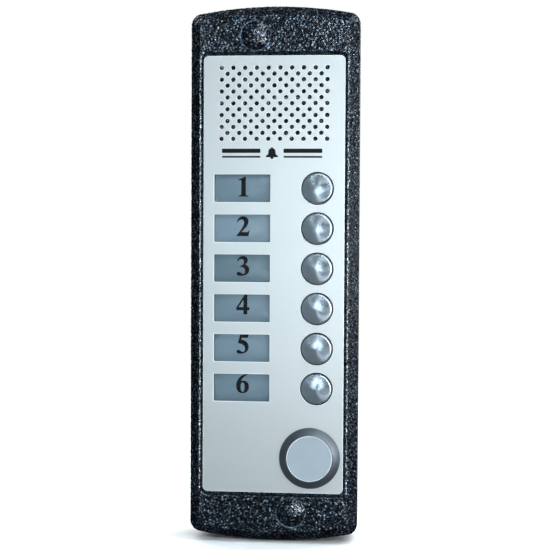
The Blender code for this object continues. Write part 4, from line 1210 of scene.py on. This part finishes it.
# name, degrees right of the panel's front, degrees up, distance, size, watts, what it does, colour
LIGHTS = [
    ("overhead", 0, 89, 1.2, 1.5, 14.0, "shading", COOL),
    ("top_right", 90, 60, 0.7, 0.6, 2.3, "shading", COOL),
    ("front_fill", 5, 15, 0.7, 0.4, 2.0, "shading", COOL),
    ("upper_right", 60, 60, 0.7, 0.25, 1.0, "both", COOL),
    ("right", 45, 0, 0.7, 0.13, 1.75, "reflections", NEUTRAL),
    ("right_side", 90, 0, 0.7, 0.24, 0.22, "both", COOL),
    ("near_right", 30, 0, 0.32, 0.08, 0.25, "reflections", NEUTRAL),
    ("upper_front", 15, 30, 0.7, 0.12, 0.9, "both", COOL),
    ("front_right", 30, 30, 0.7, 0.12, 0.35, "both", COOL),
    ("front", 0, 0, 0.7, 0.09, 0.44, "both", COOL),
    ("left", -35, 0, 0.7, 0.4, 0.12, "both", COOL),
    ("behind", 215, 35, 1.2, 0.8, 7.0, "both", NEUTRAL),
    ("behind_right", 130, 25, 1.2, 0.9, 7.0, "both", NEUTRAL),
]


def add_lights():
    """Soft square lights, most of them at the right, all aimed at the panel."""
    for name, azimuth, elevation, distance, size, power, effect, colour in LIGHTS:
        data = bpy.data.lights.new(name, "AREA")
        data.shape = "SQUARE"
        data.size = size
        data.energy = power
        data.color = colour
        light = linked(name, data)
        light.location = towards(azimuth, elevation) * distance
        light.rotation_euler = light.location.to_track_quat("Z", "Y").to_euler()
        light.visible_glossy = effect != "shading"
        light.visible_diffuse = effect != "reflections"


PALE_DIRECTION = (0, 0.8, 0.6)  # behind the panel and above it


def add_world():
    """A pale studio: evenly pale to look at, and in reflections pale only behind the panel."""
    world = bpy.data.worlds.new("studio")
    world.use_nodes = True
    world.node_tree.nodes.clear()
    tree = Tree(world.node_tree)
    direction = tree.node("TexCoord").outputs["Generated"]
    towards_pale = tree.vector("DOT_PRODUCT", direction, PALE_DIRECTION)["Value"]
    level = tree.spread(towards_pale, 0.01, 0.5, 0.78, 1.0)
    lit = tree.node("Background", {"Color": (0.88, 0.95, 1.0), "Strength": level})
    seen = tree.node("Background", {"Color": (1.0, 1.0, 1.0)})
    from_camera = tree.node("LightPath").outputs["Is Camera Ray"]
    either = tree.node("MixShader", {0: from_camera, 1: lit.outputs[0], 2: seen.outputs[0]})
    tree.node("OutputWorld", {"Surface": either.outputs[0]})
    bpy.context.scene.world = world
    bpy.context.scene.view_settings.view_transform = "Standard"


# ---- the whole scene

add_camera()
make_finishes()
finish_cad_nodes()
add_housing()
add_cap("top_cap")
add_cap("bottom_cap")
add_front_plate()
add_mark()
for row in range(1, CALL_COUNT + 1):
    add_name_row(row)
    add_button(row)
add_reader()
add_wall_plate()
add_grommet()
add_floor()
add_lights()
add_world()
